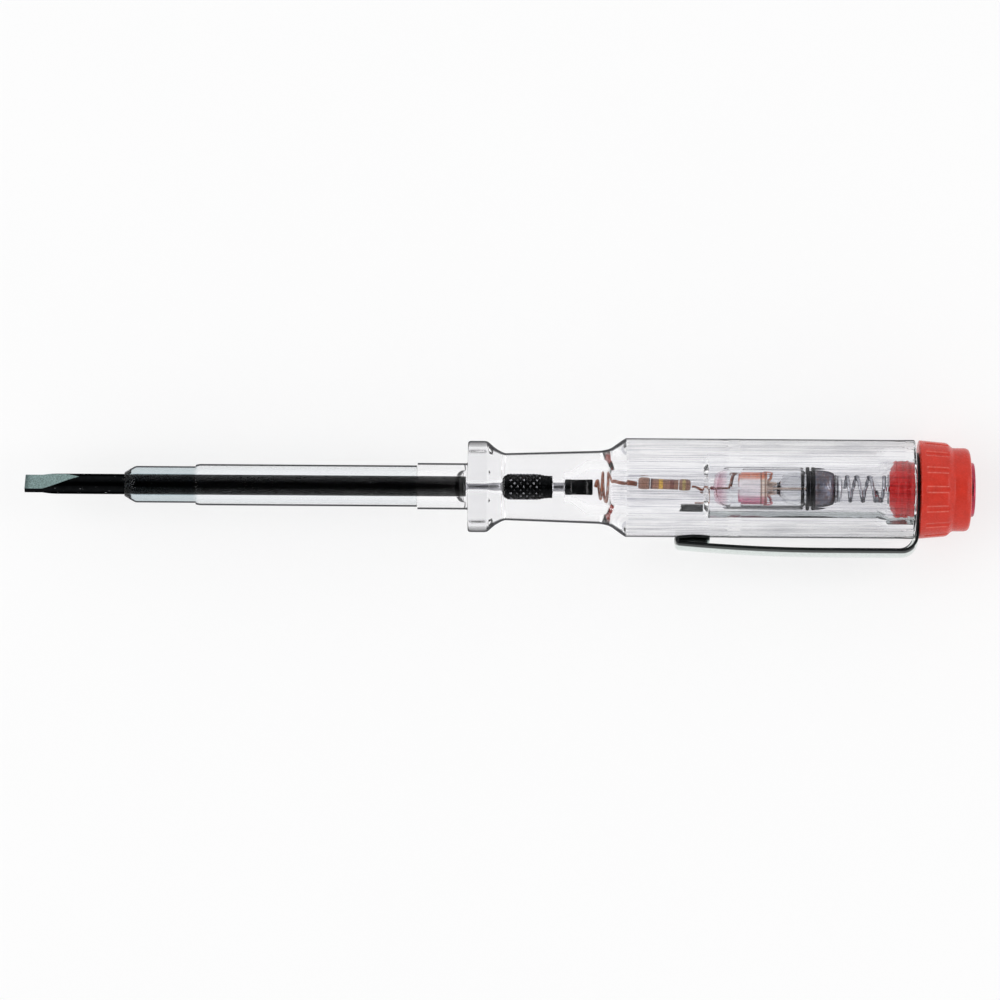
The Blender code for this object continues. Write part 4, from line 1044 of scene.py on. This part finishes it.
def handle_outline(sizes):
    """The handle's outside as (station, radius) points, from its nose to the edge of its mouth."""
    slope, shoulder = NECK_FRONT - GUARD_REAR, BODY_FRONT - NECK_REAR
    fall, rise = sizes.guard - sizes.neck_front, sizes.body - sizes.neck_rear
    return eased([
        (HANDLE_FRONT, sizes.nose, 0.3 * MM), (GUARD_FRONT, sizes.nose, 0.3 * MM),
        (GUARD_FRONT, sizes.guard, 0.5 * MM), (GUARD_REAR, sizes.guard, 0.4 * MM),
        (GUARD_REAR + 0.44 * slope, sizes.neck_front + 0.41 * fall, 0.5 * MM),
        (GUARD_REAR + 0.81 * slope, sizes.neck_front + 0.10 * fall, 0.3 * MM),
        (NECK_FRONT, sizes.neck_front, 0.3 * MM), (NECK_REAR, sizes.neck_rear, 0.6 * MM),
        (NECK_REAR + 0.36 * shoulder, sizes.neck_rear + 0.16 * rise, 0.5 * MM),
        (NECK_REAR + 0.83 * shoulder, sizes.neck_rear + 0.80 * rise, 0.4 * MM),
        (BODY_FRONT, sizes.body, 0.1 * MM), (HANDLE_REAR, sizes.body, 0.15 * MM), (HANDLE_REAR, MOUTH_RADIUS),
    ], steps=4)


def handle_bore(sizes):
    """The stepped bore as (station, radius) points, from the mouth for the plug to the nose."""
    plug, lamp, resistor, coil = 4.25 * MM, 3.5 * MM, 2.7 * MM, 1.5 * MM
    stem, barrel, neck, shank = 0.75 * MM, 0.95 * MM, 0.7 * MM, sizes.shank_radius + FIT
    soft = 0.2 * MM
    return eased([
        (HANDLE_REAR, MOUTH_RADIUS), (HANDLE_REAR - 0.3 * MM, plug), (PLUG_FRONT - 0.2 * MM, plug, soft),
        (PLUG_FRONT - 1.9 * MM, lamp, soft), (LAMP_FRONT - 0.4 * MM, lamp, soft),
        (LAMP_FRONT - 1.2 * MM, resistor, soft), (POST_FRONT + 3.3 * MM, resistor, 0.3 * MM),
        (POST_FRONT + 0.9 * MM, coil, soft), (POST_FRONT - FIT, coil), (POST_FRONT - FIT, stem),
        (KNURL_REAR + FIT, stem), (KNURL_REAR - FIT, barrel), (KNURL_FRONT - FIT, barrel),
        (ANCHOR_FRONT + 4.0 * MM, neck), (ANCHOR_FRONT + FIT, neck), (ANCHOR_FRONT + FIT, shank),
        (HANDLE_FRONT, shank),
    ], 0.06 * MM, steps=2)


def build_handle(sizes, colours):
    """The clear moulding: nose, ten-sided guard, waist, shoulder, two rings of flutes and the bore."""
    steps = FLUTE_STEPS * sizes.flutes
    side = 2 * math.pi / sizes.guard_sides
    flats = sizes.guard_corner * math.cos(side / 2) / np.cos(round_angles(steps) % side - side / 2)

    def fluted_body(station, flutes):
        return fluted(sizes.body, station, steps, sizes.flutes, flutes, sizes.flute_width, sizes.flute_depth)

    outline = handle_outline(sizes)
    ahead = [point for point in outline if point[0] <= FRONT_FLUTES[1]]
    rows = []
    for station, radius in ahead:
        if station < NECK_FRONT + MM:
            radii = softened(np.full(steps, radius), flats, 0.2 * MM)
        else:
            radii = np.minimum(radius, fluted_body(station, FRONT_FLUTES))
        rows.append(ring(station, radii, steps))
    for flutes in (FRONT_FLUTES, REAR_FLUTES):
        for station in groove_stations(*flutes, sizes.flute_width):
            if station > BODY_FRONT + 0.12 * MM:
                rows.append(ring(station, fluted_body(station, flutes), steps))
    rows += ring_rows(outline[len(ahead):] + handle_bore(sizes)[1:], steps)
    mesh = skinned("handle_moulding", rows, loop=True)
    add_piece(mesh, [handle_plastic(colours, sizes)], "handle", ["handle"])


def build_resistor(sizes, colours):
    """The resistor's body and its two end caps, lying slightly tilted."""
    finish = resistor_lacquer(colours)
    radius, cap, waist = sizes.resistor, sizes.resistor + 0.13 * MM, sizes.resistor * 0.985
    half, inner = RESISTOR_HALF, RESISTOR_HALF - 1.7 * MM
    soft, hollow = 0.3 * MM, 0.8 * MM
    rear_cap = [
        (inner, 0), (inner, radius, 0.1 * MM), (inner + 0.35 * MM, cap, soft), (half - 0.4 * MM, cap, soft),
        (half, cap - 0.2 * MM, soft), (half, 0),
    ]
    front_cap = [(-corner[0], *corner[1:]) for corner in reversed(rear_cap)]
    body = [
        (-inner + FIT, 0), (-inner + FIT, radius), (-inner / 2, waist, hollow), (inner / 2, waist, hollow),
        (inner - FIT, radius), (inner - FIT, 0),
    ]
    stand = Matrix.Translation((RESISTOR_FRONT + half, RESISTOR_OFFSET, 0))
    stand = stand @ Matrix.Rotation(-RESISTOR_TILT, 4, "Z")
    for name, node, corners in (
        ("resistor_tube", "resistor_body", body),
        ("resistor_end_front", "resistor_front_cap", front_cap),
        ("resistor_end_rear", "resistor_rear_cap", rear_cap),
    ):
        mesh = turned(name, corners, SMALL_STEPS, closed=False)
        add_piece(mesh, [finish], "handle", [node], stand)


def contact_coil_path():
    """The front lead's coil, from its wide rear turn to its narrow end against the shank's post."""
    end = SHANK_REAR + SEAT + LEAD_WIRE
    turns, narrow, count = 2.25, 0.6 * MM, 108
    path = []
    for step in range(count + 1):
        part = step / count
        angle = math.pi / 2 + 2 * math.pi * turns * part
        radius = COIL_RADIUS - (COIL_RADIUS - narrow) * max(0, 2 * part - 1)
        station = COIL_REAR + (end - COIL_REAR) * part
        path.append((station, radius * math.sin(angle), -radius * math.cos(angle)))
    return path


def build_resistor_leads(sizes, colours):
    """The front lead, wound into a contact coil, and the rear one."""
    finish = lead_wire(colours)
    middle, out = RESISTOR_FRONT + RESISTOR_HALF, RESISTOR_HALF + SEAT
    run, tilted = out * math.cos(RESISTOR_TILT), out * math.sin(RESISTOR_TILT)
    front_end = (middle - run, RESISTOR_OFFSET + tilted, 0)
    rear_end = (middle + run, RESISTOR_OFFSET - tilted, 0)
    coil = contact_coil_path()
    rise = 0.95 * MM
    bend = (COIL_RADIUS - rise) / 2
    lead = smooth_path([
        front_end, (front_end[0] - 0.95 * MM, (front_end[1] + rise) / 2, 0),
        (RESISTOR_FRONT - 1.9 * MM, rise, 0), (COIL_REAR + 2 * bend, rise, 0),
        (COIL_REAR + bend, rise + bend, bend / 2), coil[0],
    ])
    mesh = tube("contact_coil", lead[:-1] + coil, LEAD_WIRE)
    add_piece(mesh, [finish], "handle", ["resistor_front_lead"])
    stop, drop, straight = LAMP_FRONT - 3 * LAMP_WIRE - SEAT, -0.57 * MM, 0.5 * MM
    path = smooth_path([
        rear_end, (rear_end[0] + straight, rear_end[1], 0),
        ((rear_end[0] + stop) / 2, (rear_end[1] + drop) / 2, 0), (stop - straight, drop, 0), (stop, drop, 0),
    ])
    mesh = tube("resistor_tail", path, LEAD_WIRE)
    add_piece(mesh, [finish], "handle", ["resistor_rear_lead"])


def oval(middle, extent, station, run, steps=16):
    """Corners of a quarter oval from (station, middle + extent) to (station + run, middle)."""
    turns = [math.pi / 2 * step / steps for step in range(steps + 1)]
    return [(station + run * math.sin(turn), middle + extent * math.cos(turn), 0) for turn in turns]


def build_lamp_glass(sizes, colours):
    """The lamp's envelope and the flared stem inside it."""
    finish = lamp_glass(colours)
    radius, wall, hole, nose = sizes.lamp, 0.35 * MM, 0.34 * MM, 2.2 * MM
    inner, pip, neck = radius - wall, hole + 0.2 * MM, radius - 0.5 * MM
    neck_front = SHELL_FRONT - FIT
    shoulder = neck_front - 0.3 * MM
    outside = [(GLASS_REAR, neck), (neck_front, neck), (shoulder, radius, 0.2 * MM)]
    outside += oval(pip, radius - pip, LAMP_NOSE_REAR, -nose) + [(LAMP_FRONT, pip)]
    inside = [(LAMP_FRONT, hole)] + oval(hole, inner - hole, LAMP_NOSE_REAR, wall - nose)[::-1]
    inside += [(shoulder - wall, inner), (neck_front - wall, neck - wall), (GLASS_REAR, neck - wall)]
    add_piece(turned("lamp_envelope", outside + inside), [finish], "handle", ["lamp_bulb"])
    end, foot, flare, tip, bore = GLASS_REAR - FIT, neck - wall - FIT, 2.5 * MM, 0.8 * MM, 0.4 * MM
    depth = end - STEM_FRONT
    stem = turned("lamp_foot", [
        (end, foot), (neck_front - 0.65 * MM, foot, 0.2 * MM), (neck_front - 1.25 * MM, flare, 0.4 * MM),
        (STEM_FRONT + 0.42 * depth, flare * 0.98, 0.8 * MM), (STEM_FRONT + 0.22 * depth, 1.65 * MM, 0.6 * MM),
        (STEM_FRONT + 0.12 * depth, tip, 0.5 * MM), (STEM_FRONT, tip, 0.2 * MM), (STEM_FRONT, bore),
        (end, bore),
    ])
    add_piece(stem, [finish], "handle", ["lamp_stem"])


def build_electrodes(sizes, colours):
    """The ring electrode, its supports, the pin electrode and the lamp's lead."""
    finish = electrode_metal(colours)
    radius, wall, soft = reach("ring_electrode"), 0.3 * MM, 0.1 * MM
    band = turned("lamp_ring", [
        (RING_REAR, radius, soft), (RING_FRONT, radius, soft), (RING_FRONT, radius - wall, soft),
        (RING_REAR, radius - wall, soft),
    ])
    add_piece(band, [finish], "handle", ["ring_electrode"])
    thick, thin, foot = 0.55 * MM, 0.3 * MM, STEM_FRONT - FIT
    pin = turned("lamp_pin", [
        (PIN_FRONT, 0), (PIN_FRONT, thin, 0.15 * MM), (PIN_FRONT + 0.3 * MM, thick, 0.2 * MM),
        (foot, thick), (foot, thin), (PIN_REAR, thin), (PIN_REAR, 0),
    ], SMALL_STEPS, closed=False)
    add_piece(pin, [finish], "handle", ["pin_electrode"])
    support, middle = 0.16 * MM, radius - wall / 2
    profile = [
        (RING_REAR - 0.5 * MM, radius + support * 0.6), (RING_REAR + 0.25 * MM, radius + support * 0.2),
        (RING_REAR + 0.75 * MM, middle - 0.15 * MM), (RING_REAR + 0.45 * MM, middle - 0.9 * MM),
        (RING_REAR + 0.15 * MM, middle - 1.3 * MM), (STEM_FRONT + 0.5 * MM, 0.75 * MM),
    ]
    support_angles = (0.32, -0.5, math.pi - 0.35, math.pi + 0.45)
    for index, angle in enumerate(support_angles, 1):
        path = smooth_path([(at, out * math.cos(angle), out * math.sin(angle)) for at, out in profile])
        mesh = tube(f"ring_support_{index}", path, support, sides=10)
        add_piece(mesh, [finish], "handle")
    wire, start, bend = LAMP_WIRE, RING_FRONT - SEAT, LAMP_FRONT - SEAT - 2 * LAMP_WIRE
    drop = 2.28 * MM
    path = smooth_path([
        (start, middle, 0), (start - wire, middle, 0), (start - 3 * wire, middle * 0.8, 0),
        (LAMP_NOSE_REAR + wire, wire, 0), (LAMP_NOSE_REAR - wire, 0, 0), (bend + 2 * wire, 0, 0),
        (bend + wire / 2, -wire / 2, 0), (bend, -2 * wire, 0), (bend, -drop + 2 * wire, 0),
        (bend - wire / 2, -drop + wire, 0), (bend - 2 * wire, -drop, 0), (bend - 1.9 * MM, -drop, 0),
    ])
    mesh = tube("lamp_wire", path, wire)
    add_piece(mesh, [lead_wire(colours)], "handle", ["lamp_lead"])


def build_lamp_base(sizes, colours):
    """The lamp's metal shell with two rims, its insulator and its end contact."""
    rim, bore, end = reach("lamp_cap"), sizes.lamp - 0.4 * MM, 1.95 * MM
    wall, bead, groove = 0.32 * MM, 0.2 * MM, rim - 0.3 * MM
    dome_front = SHELL_FRONT + 1.3 * MM
    dome = SHELL_REAR - dome_front
    outside = oval(end, sizes.lamp - end, dome_front + 0.1 * MM, dome - 0.1 * MM)[::-1] + [
        (dome_front, rim - 0.05 * MM, bead), (SHELL_FRONT + 0.85 * MM, rim, bead),
        (SHELL_FRONT + 0.8 * MM, groove, bead), (SHELL_FRONT + 0.55 * MM, groove, bead),
        (SHELL_FRONT + 0.5 * MM, rim, bead), (SHELL_FRONT, rim, bead), (SHELL_FRONT, bore),
    ]
    inside = oval(end - wall, bore - end + wall, dome_front, dome - wall) + [(SHELL_REAR, end - wall)]
    shell = turned("lamp_shell", outside + inside)
    add_piece(shell, [lamp_shell(colours)], "handle", ["lamp_cap"])
    soft, inner, hole = 0.12 * MM, end - wall - FIT, 0.4 * MM
    flange, root = INSULATOR_REAR - 0.3 * MM, SHELL_REAR - 0.5 * MM
    insulator = turned("lamp_seal", [
        (INSULATOR_REAR, end, soft), (flange, end, soft), (flange, inner), (root, inner), (root, hole),
        (INSULATOR_REAR, hole),
    ], MEDIUM_STEPS)
    add_piece(insulator, [insulator_glass(colours)], "handle", ["lamp_insulator"])
    base = INSULATOR_REAR + FIT
    contact = turned("solder_tip", [
        (base, 0), (base, 1.7 * MM, 0.2 * MM), (base + 0.3 * MM, 1.9 * MM, 0.3 * MM),
        (LAMP_REAR - 0.15 * MM, 1.55 * MM, 0.4 * MM), (LAMP_REAR, 0.7 * MM, 0.4 * MM), (LAMP_REAR, 0),
    ], MEDIUM_STEPS, closed=False)
    add_piece(contact, [solder_metal(colours)], "handle", ["lamp_contact"])


def build_spring(sizes, colours):
    """The compression spring, which stretches between the lamp and the cap's washer."""
    wire, radius = sizes.spring_wire, 1.6 * MM
    start, end = LAMP_REAR + SEAT + wire, WASHER_FRONT - SEAT - wire
    turns, end_turns, end_pitch = sizes.spring_turns, 0.75, 0.95 * MM
    closed_rise = end_turns * end_pitch
    open_pitch = (end - start - 2 * closed_rise) / (turns - 2 * end_turns)
    path = []
    count = round(turns * 48)
    for step in range(count + 1):
        turn = turns * step / count
        if turn < end_turns:
            rise = turn * end_pitch
        elif turn < turns - end_turns:
            rise = closed_rise + (turn - end_turns) * open_pitch
        else:
            rise = end - start - (turns - turn) * end_pitch
        angle = 2 * math.pi * turn
        path.append((start + rise, radius * math.sin(angle), -radius * math.cos(angle)))
    mesh = tube("spring_coil", path, wire)
    mesh.materials.append(spring_steel(colours))
    spring = linked_object("spring_coil", mesh)
    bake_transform(spring)
    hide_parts("contact_spring")


def build_touch_contacts(sizes, colours):
    """The washer in front of the plug, and the rivet that runs to the touch face."""
    outer, hole, soft = 2.1 * MM, 0.8 * MM, 0.12 * MM
    washer = turned("spring_washer", [
        (WASHER_REAR, outer, soft), (WASHER_FRONT, outer, soft), (WASHER_FRONT, hole), (WASHER_REAR, hole),
    ], MEDIUM_STEPS)
    add_piece(washer, [spring_steel(colours)], "contact", ["contact_washer"])
    seat, tail = CAP_REAR - CAP_RECESS + FIT, front("touch_rivet")
    disc, dish, shank, pin, edge = 4.0 * MM, 2.4 * MM, 1.2 * MM, 0.7 * MM, 0.15 * MM
    rivet = turned("rivet_and_disc", [
        (TOUCH_FACE - 0.12 * MM, 0), (TOUCH_FACE - 0.1 * MM, shank, 0.3 * MM),
        (TOUCH_FACE, dish, 0.4 * MM), (TOUCH_FACE, disc - edge, soft), (TOUCH_FACE - edge, disc, soft),
        (seat, disc),
        (seat, shank), (PLUG_FRONT, shank), (PLUG_FRONT, pin), (tail, pin, 0.2 * MM), (tail, 0),
    ], closed=False)
    add_piece(rivet, [touch_metal(colours)], "cap", ["touch_rivet"])


def skirt_rows(sizes, steps):
    """Rows over the cap's outside, from the recess for the touch disc to its front edge, with its grooves."""
    radius, taper, top = sizes.cap, 0.37 * MM, sizes.cap - 1.12 * MM
    ledge = CAP_SHOULDER + 0.8 * MM
    points = eased([
        (CAP_REAR - CAP_RECESS, DISC_RECESS), (CAP_REAR, DISC_RECESS, 0.08 * MM), (CAP_REAR, top, 1.5 * MM),
        (ledge, top, 0.25 * MM), (CAP_SHOULDER, radius - taper, 0.35 * MM), (CAP_FRONT, radius),
    ], steps=6)[:-1]
    stations = [CAP_SHOULDER - 0.4 * MM] + groove_stations(*CAP_GROOVES, CAP_GROOVE_WIDTH)[::-1]
    stations += [CAP_FRONT + 0.3 * MM, CAP_FRONT + CAP_EDGE]
    points += [(station, radius - taper * (station - CAP_FRONT) / (CAP_SHOULDER - CAP_FRONT))
               for station in stations if station < CAP_SHOULDER - 0.36 * MM]
    rows = []
    for station, size in points:
        cut = np.full(steps, size)
        if size > top + 0.1 * MM and station < ledge:
            lean = taper * (station - CAP_GROOVES[0]) / (CAP_GROOVES[1] - CAP_GROOVES[0])
            base = grooved(
                radius, station, steps, sizes.cap_grooves, CAP_GROOVES, CAP_GROOVE_WIDTH, CAP_GROOVE_DEPTH,
                math.pi / 2, lean,
            )
            cut = np.where(base < radius - lean, np.minimum(size, base), size)
        rows.append(ring(station, cut, steps))
    return rows


def thread_rows(rear_end, front_end, steps, count=45):
    """Rows over the plug's thread, which fades out at its two ends."""
    pitch, depth, height, around = 1.0 * MM, 0.12 * MM, 0.16 * MM, np.arange(steps) / steps
    rows = []
    for row in range(1, count + 1):
        station = rear_end - (rear_end - front_end) * row / count
        crest = np.clip(1.6 * ridges(around + station / pitch) - 0.3, 0, 1)
        fade = min(1.0, row / 5, (count + 1 - row) / 4)
        rows.append(ring(station, PLUG_RADIUS - depth * fade + height * crest * fade, steps))
    return rows


def build_cap(sizes, colours):
    """The red cap: grooved skirt, stepped and rounded top, and the threaded plug."""
    steps = CAP_GROOVE_STEPS * sizes.cap_grooves
    hole, chamfer, recess_floor = 1.3 * MM, 2.7 * MM, CAP_REAR - CAP_RECESS
    thread_front = PLUG_FRONT + 0.9 * MM
    front_edge = eased([
        (CAP_FRONT + CAP_EDGE, sizes.cap), (CAP_FRONT, sizes.cap - CAP_EDGE), (CAP_FRONT, PLUG_RADIUS),
    ])
    inside = eased([
        (thread_front, PLUG_RADIUS - 0.04 * MM), (PLUG_FRONT, chamfer, 0.1 * MM), (PLUG_FRONT, hole),
        (recess_floor, hole), (recess_floor, DISC_RECESS),
    ])
    rows = skirt_rows(sizes, steps) + ring_rows(front_edge[1:], steps)
    rows += thread_rows(CAP_FRONT - 0.4 * MM, thread_front, steps) + ring_rows(inside[1:-1], steps)
    mesh = skinned("red_cap", rows, loop=True)
    add_piece(mesh, [red_plastic(colours, sizes)], "cap", ["end_cap"])


def crown_drop(across, radius):
    """How far the strip's curved section falls away at a distance from its middle."""
    return radius - math.sqrt(radius ** 2 - across ** 2)


def clip_path(sizes):
    """Middle line of the clip's strip as (radius, station), from its ring to its folded end."""
    sheet, bend, fold = sizes.clip_sheet, 2.2 * MM, 0.4 * MM
    arm = sizes.body + 2.6 * MM
    half_width = CLIP_RING * math.sin(2 * math.pi * CLIP_HALF_STEPS / CLIP_STEPS)
    crown = crown_drop(half_width, CLIP_RING - sheet / 2)
    seat = math.sqrt(sizes.body ** 2 - half_width ** 2) + SEAT
    flap = seat + crown + sheet / 2 + 0.15 * MM
    bend_start = CLIP_REAR - sheet / 2 - bend
    bend_steps, arm_steps, fold_steps = 14, 28, 10
    path = []
    for step in range(bend_steps + 1):
        angle = math.pi / 2 * step / bend_steps
        path.append((arm - bend + bend * math.sin(angle), bend_start + bend * math.cos(angle)))
    straight, slope, flap_length = 11.3 * MM, 21.4 * MM, 4.4 * MM
    for step in range(arm_steps + 1):
        part = step / arm_steps
        path.append((arm - (arm - flap - 2 * fold) * part ** 2, bend_start - straight - slope * part))
    hem = bend_start - straight - slope
    for step in range(1, fold_steps + 1):
        angle = math.pi * step / fold_steps
        path.append((flap + fold * (1 + math.cos(angle)), hem - fold * math.sin(angle)))
    for step in range(1, fold_steps + 1):
        part = step / fold_steps
        path.append((flap - 0.15 * MM * math.sin(math.pi * part), hem + flap_length * part))
    return path


def clip_mesh(sizes):
    """The middle face of the clip's sheet: a ring, and a crowned strip that leaves it on the -Y side."""
    plane, hole = CLIP_REAR - sizes.clip_sheet / 2, 4.2 * MM
    work = bmesh.new()
    inner, outer = [], []
    for index in range(CLIP_STEPS):
        angle = 2 * math.pi * (index - CLIP_HALF_STEPS) / CLIP_STEPS - math.pi / 2
        way = Vector((0, math.sin(angle), -math.cos(angle)))
        inner.append(work.verts.new(Vector((plane, 0, 0)) + way * hole))
        outer.append(work.verts.new(Vector((plane, 0, 0)) + way * CLIP_RING))
    for index in range(CLIP_STEPS):
        after = (index + 1) % CLIP_STEPS
        work.faces.new((inner[index], outer[index], outer[after], inner[after]))
    row = outer[:2 * CLIP_HALF_STEPS + 1]
    heights = [vertex.co.z for vertex in row]
    for radius, station in clip_path(sizes):
        places = [(station, crown_drop(height, CLIP_RING) - radius, height) for height in heights]
        next_row = [work.verts.new(point) for point in places]
        for index in range(len(row) - 1):
            work.faces.new((row[index], next_row[index], next_row[index + 1], row[index + 1]))
        row = next_row
    return finished_mesh("spring_clip", work)


def build_clip(sizes, colours):
    """Sheet-metal clip: a ring round the plug, one bend, a crowned arm and a folded end."""
    finishes = [clip_chrome(colours), sheared_edge(colours)]
    clip = add_piece(clip_mesh(sizes), finishes, "clip", ["pocket_clip"], shade=False)
    sheet = clip.modifiers.new("sheet", "SOLIDIFY")
    sheet.thickness = sizes.clip_sheet
    sheet.offset = 0
    sheet.use_even_offset = True
    sheet.material_offset_rim = 1
    edge = clip.modifiers.new("rounded edge", "BEVEL")
    edge.width = 0.05 * MM
    edge.segments = 3
    edge.limit_method = "ANGLE"
    edge.angle_limit = math.radians(60)
    even_shading(clip)


# Stage


def build_floor(colours):
    """A round floor just below the part."""
    work = bmesh.new()
    bmesh.ops.create_circle(work, cap_ends=True, radius=2.0, segments=128)
    mesh = bpy.data.meshes.new("studio_floor")
    work.to_mesh(mesh)
    work.free()
    mesh.materials.append(floor_finish(colours))
    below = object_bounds()[0].z - 0.02 * MM
    floor = linked_object("studio_floor", mesh)
    floor.location = (STAGE_MIDDLE, 0, below)
    floor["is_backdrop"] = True


def build_sky():
    """Soft light from all round, pale at the sides and dark overhead."""
    world = bpy.data.worlds.new("studio")
    bpy.context.scene.world = world
    world.use_nodes = True
    tree = world.node_tree
    direction = add_node(tree, "TexCoord").outputs["Generated"]
    up = add_node(tree, "SeparateXYZ", {"Vector": direction}).outputs["Z"]
    sky = ramp(
        tree, up, (0.5, (0.97, 0.97, 0.97)), (0.7, (0.62, 0.62, 0.63)), (0.86, (0.5, 0.5, 0.5)),
        (0.94, (0.04, 0.04, 0.04)),
    )
    join(tree, tree.nodes["Background"].inputs["Color"], sky)


def build_lights():
    """Two soft boxes, one over each end of the tool, turned towards its middle."""
    away = 0.72
    for name, side in (("key_light", -1), ("fill_light", 1)):
        light = bpy.data.lights.new(name, "AREA")
        light.shape = "RECTANGLE"
        light.size, light.size_y = 0.7, 1.0
        light.energy = 3.8
        lamp = linked_object(name, light)
        lamp.location = (STAGE_MIDDLE + side * away, 0, away)
        lamp.rotation_euler = (0, side * math.radians(45), 0)


def build_camera():
    """A long lens straight above, with the photograph's slight turn and the width that it takes in."""
    photo_width, middle_x, middle_y, turn = 147.5 * MM, 70.06 * MM, -1.97 * MM, 0.0068
    view = bpy.data.cameras.new("photo_camera")
    view.lens, view.sensor_width = 200, 36
    view.clip_start = 0.01
    camera = linked_object("photo_camera", view)
    camera.location = (middle_x, middle_y, photo_width * view.lens / view.sensor_width)
    camera.rotation_euler = (0, 0, turn)
    bpy.context.scene.camera = camera
    bpy.context.scene.view_settings.view_transform = "Standard"


def build_stage(sizes, colours):
    """The floor, the soft light and the camera at the photograph's viewing angle."""
    build_floor(colours)
    build_sky()
    build_lights()
    build_camera()


# Add-on


def settings(context):
    """The sizes and the colours that the pieces are built with."""
    return context.scene.tester_sizes, context.scene.tester_colours


class TESTER_OT_shank(bpy.types.Operator):
    """Build the steel shank with its ground tip, anchor and contact post"""

    bl_idname = "tester.shank"
    bl_label = "Blade and Shank"

    def execute(self, context):
        build_shank(*settings(context))
        return {"FINISHED"}


class TESTER_OT_sleeves(bpy.types.Operator):
    """Build the two clear tubes on the shank"""

    bl_idname = "tester.sleeves"
    bl_label = "Sleeves"

    def execute(self, context):
        build_sleeves(*settings(context))
        return {"FINISHED"}


class TESTER_OT_handle(bpy.types.Operator):
    """Build the clear moulding with its guard, flutes and bore"""

    bl_idname = "tester.handle"
    bl_label = "Handle"

    def execute(self, context):
        build_handle(*settings(context))
        return {"FINISHED"}


class TESTER_OT_resistor(bpy.types.Operator):
    """Build the resistor's body and its two end caps"""

    bl_idname = "tester.resistor"
    bl_label = "Resistor"

    def execute(self, context):
        build_resistor(*settings(context))
        return {"FINISHED"}


class TESTER_OT_resistor_leads(bpy.types.Operator):
    """Build the contact coil and the resistor's rear wire"""

    bl_idname = "tester.resistor_leads"
    bl_label = "Resistor Leads"

    def execute(self, context):
        build_resistor_leads(*settings(context))
        return {"FINISHED"}


class TESTER_OT_lamp_glass(bpy.types.Operator):
    """Build the lamp's envelope and its flared stem"""

    bl_idname = "tester.lamp_glass"
    bl_label = "Lamp Glass"

    def execute(self, context):
        build_lamp_glass(*settings(context))
        return {"FINISHED"}


class TESTER_OT_electrodes(bpy.types.Operator):
    """Build the ring, its supports, the pin and the lamp's wire"""

    bl_idname = "tester.electrodes"
    bl_label = "Electrodes"

    def execute(self, context):
        build_electrodes(*settings(context))
        return {"FINISHED"}


class TESTER_OT_lamp_base(bpy.types.Operator):
    """Build the lamp's shell, its insulator and its end contact"""

    bl_idname = "tester.lamp_base"
    bl_label = "Lamp Base"

    def execute(self, context):
        build_lamp_base(*settings(context))
        return {"FINISHED"}


class TESTER_OT_spring(bpy.types.Operator):
    """Build the compression spring"""

    bl_idname = "tester.spring"
    bl_label = "Spring"

    def execute(self, context):
        build_spring(*settings(context))
        return {"FINISHED"}


class TESTER_OT_touch_contacts(bpy.types.Operator):
    """Build the washer and the rivet with its touch disc"""

    bl_idname = "tester.touch_contacts"
    bl_label = "Washer and Rivet"

    def execute(self, context):
        build_touch_contacts(*settings(context))
        return {"FINISHED"}


class TESTER_OT_cap(bpy.types.Operator):
    """Build the grooved screw cap with its threaded plug"""

    bl_idname = "tester.cap"
    bl_label = "End Cap"

    def execute(self, context):
        build_cap(*settings(context))
        return {"FINISHED"}


class TESTER_OT_clip(bpy.types.Operator):
    """Build the sheet-metal clip"""

    bl_idname = "tester.clip"
    bl_label = "Pocket Clip"

    def execute(self, context):
        build_clip(*settings(context))
        return {"FINISHED"}


class TESTER_OT_stage(bpy.types.Operator):
    """Build the floor, the lights and the camera"""

    bl_idname = "tester.stage"
    bl_label = "Stage"

    def execute(self, context):
        build_stage(*settings(context))
        return {"FINISHED"}


BUILDS = [
    TESTER_OT_shank,
    TESTER_OT_sleeves,
    TESTER_OT_handle,
    TESTER_OT_resistor,
    TESTER_OT_resistor_leads,
    TESTER_OT_lamp_glass,
    TESTER_OT_electrodes,
    TESTER_OT_lamp_base,
    TESTER_OT_spring,
    TESTER_OT_touch_contacts,
    TESTER_OT_cap,
    TESTER_OT_clip,
    TESTER_OT_stage,
]


class TESTER_PT_pieces(bpy.types.Panel):
    """Lists the pieces of the voltage tester, their sizes and their colours."""

    bl_idname = "TESTER_PT_pieces"
    bl_label = "Voltage Tester"
    bl_space_type = "VIEW_3D"
    bl_region_type = "UI"
    bl_category = "Tester"

    def draw(self, context):
        """Draw the settings, and a button for each operator."""
        layout = self.layout
        for group in (context.scene.tester_sizes, context.scene.tester_colours):
            box = layout.box()
            for name in group.__annotations__:
                box.prop(group, name)
        for build in BUILDS:
            layout.operator(build.bl_idname)


CLASSES = [TesterSizes, TesterColours, *BUILDS, TESTER_PT_pieces]


def register():
    """Register the classes, and give the scene its settings."""
    for item in CLASSES:
        bpy.utils.register_class(item)
    bpy.types.Scene.tester_sizes = PointerProperty(type=TesterSizes)
    bpy.types.Scene.tester_colours = PointerProperty(type=TesterColours)


def unregister():
    """Take back what register has done."""
    del bpy.types.Scene.tester_colours
    del bpy.types.Scene.tester_sizes
    for item in reversed(CLASSES):
        bpy.utils.unregister_class(item)


def main():
    """Build every piece and the stage."""
    register()
    for build in BUILDS:
        getattr(bpy.ops.tester, build.bl_idname.removeprefix("tester."))()


if __name__ == "__main__":
    main()
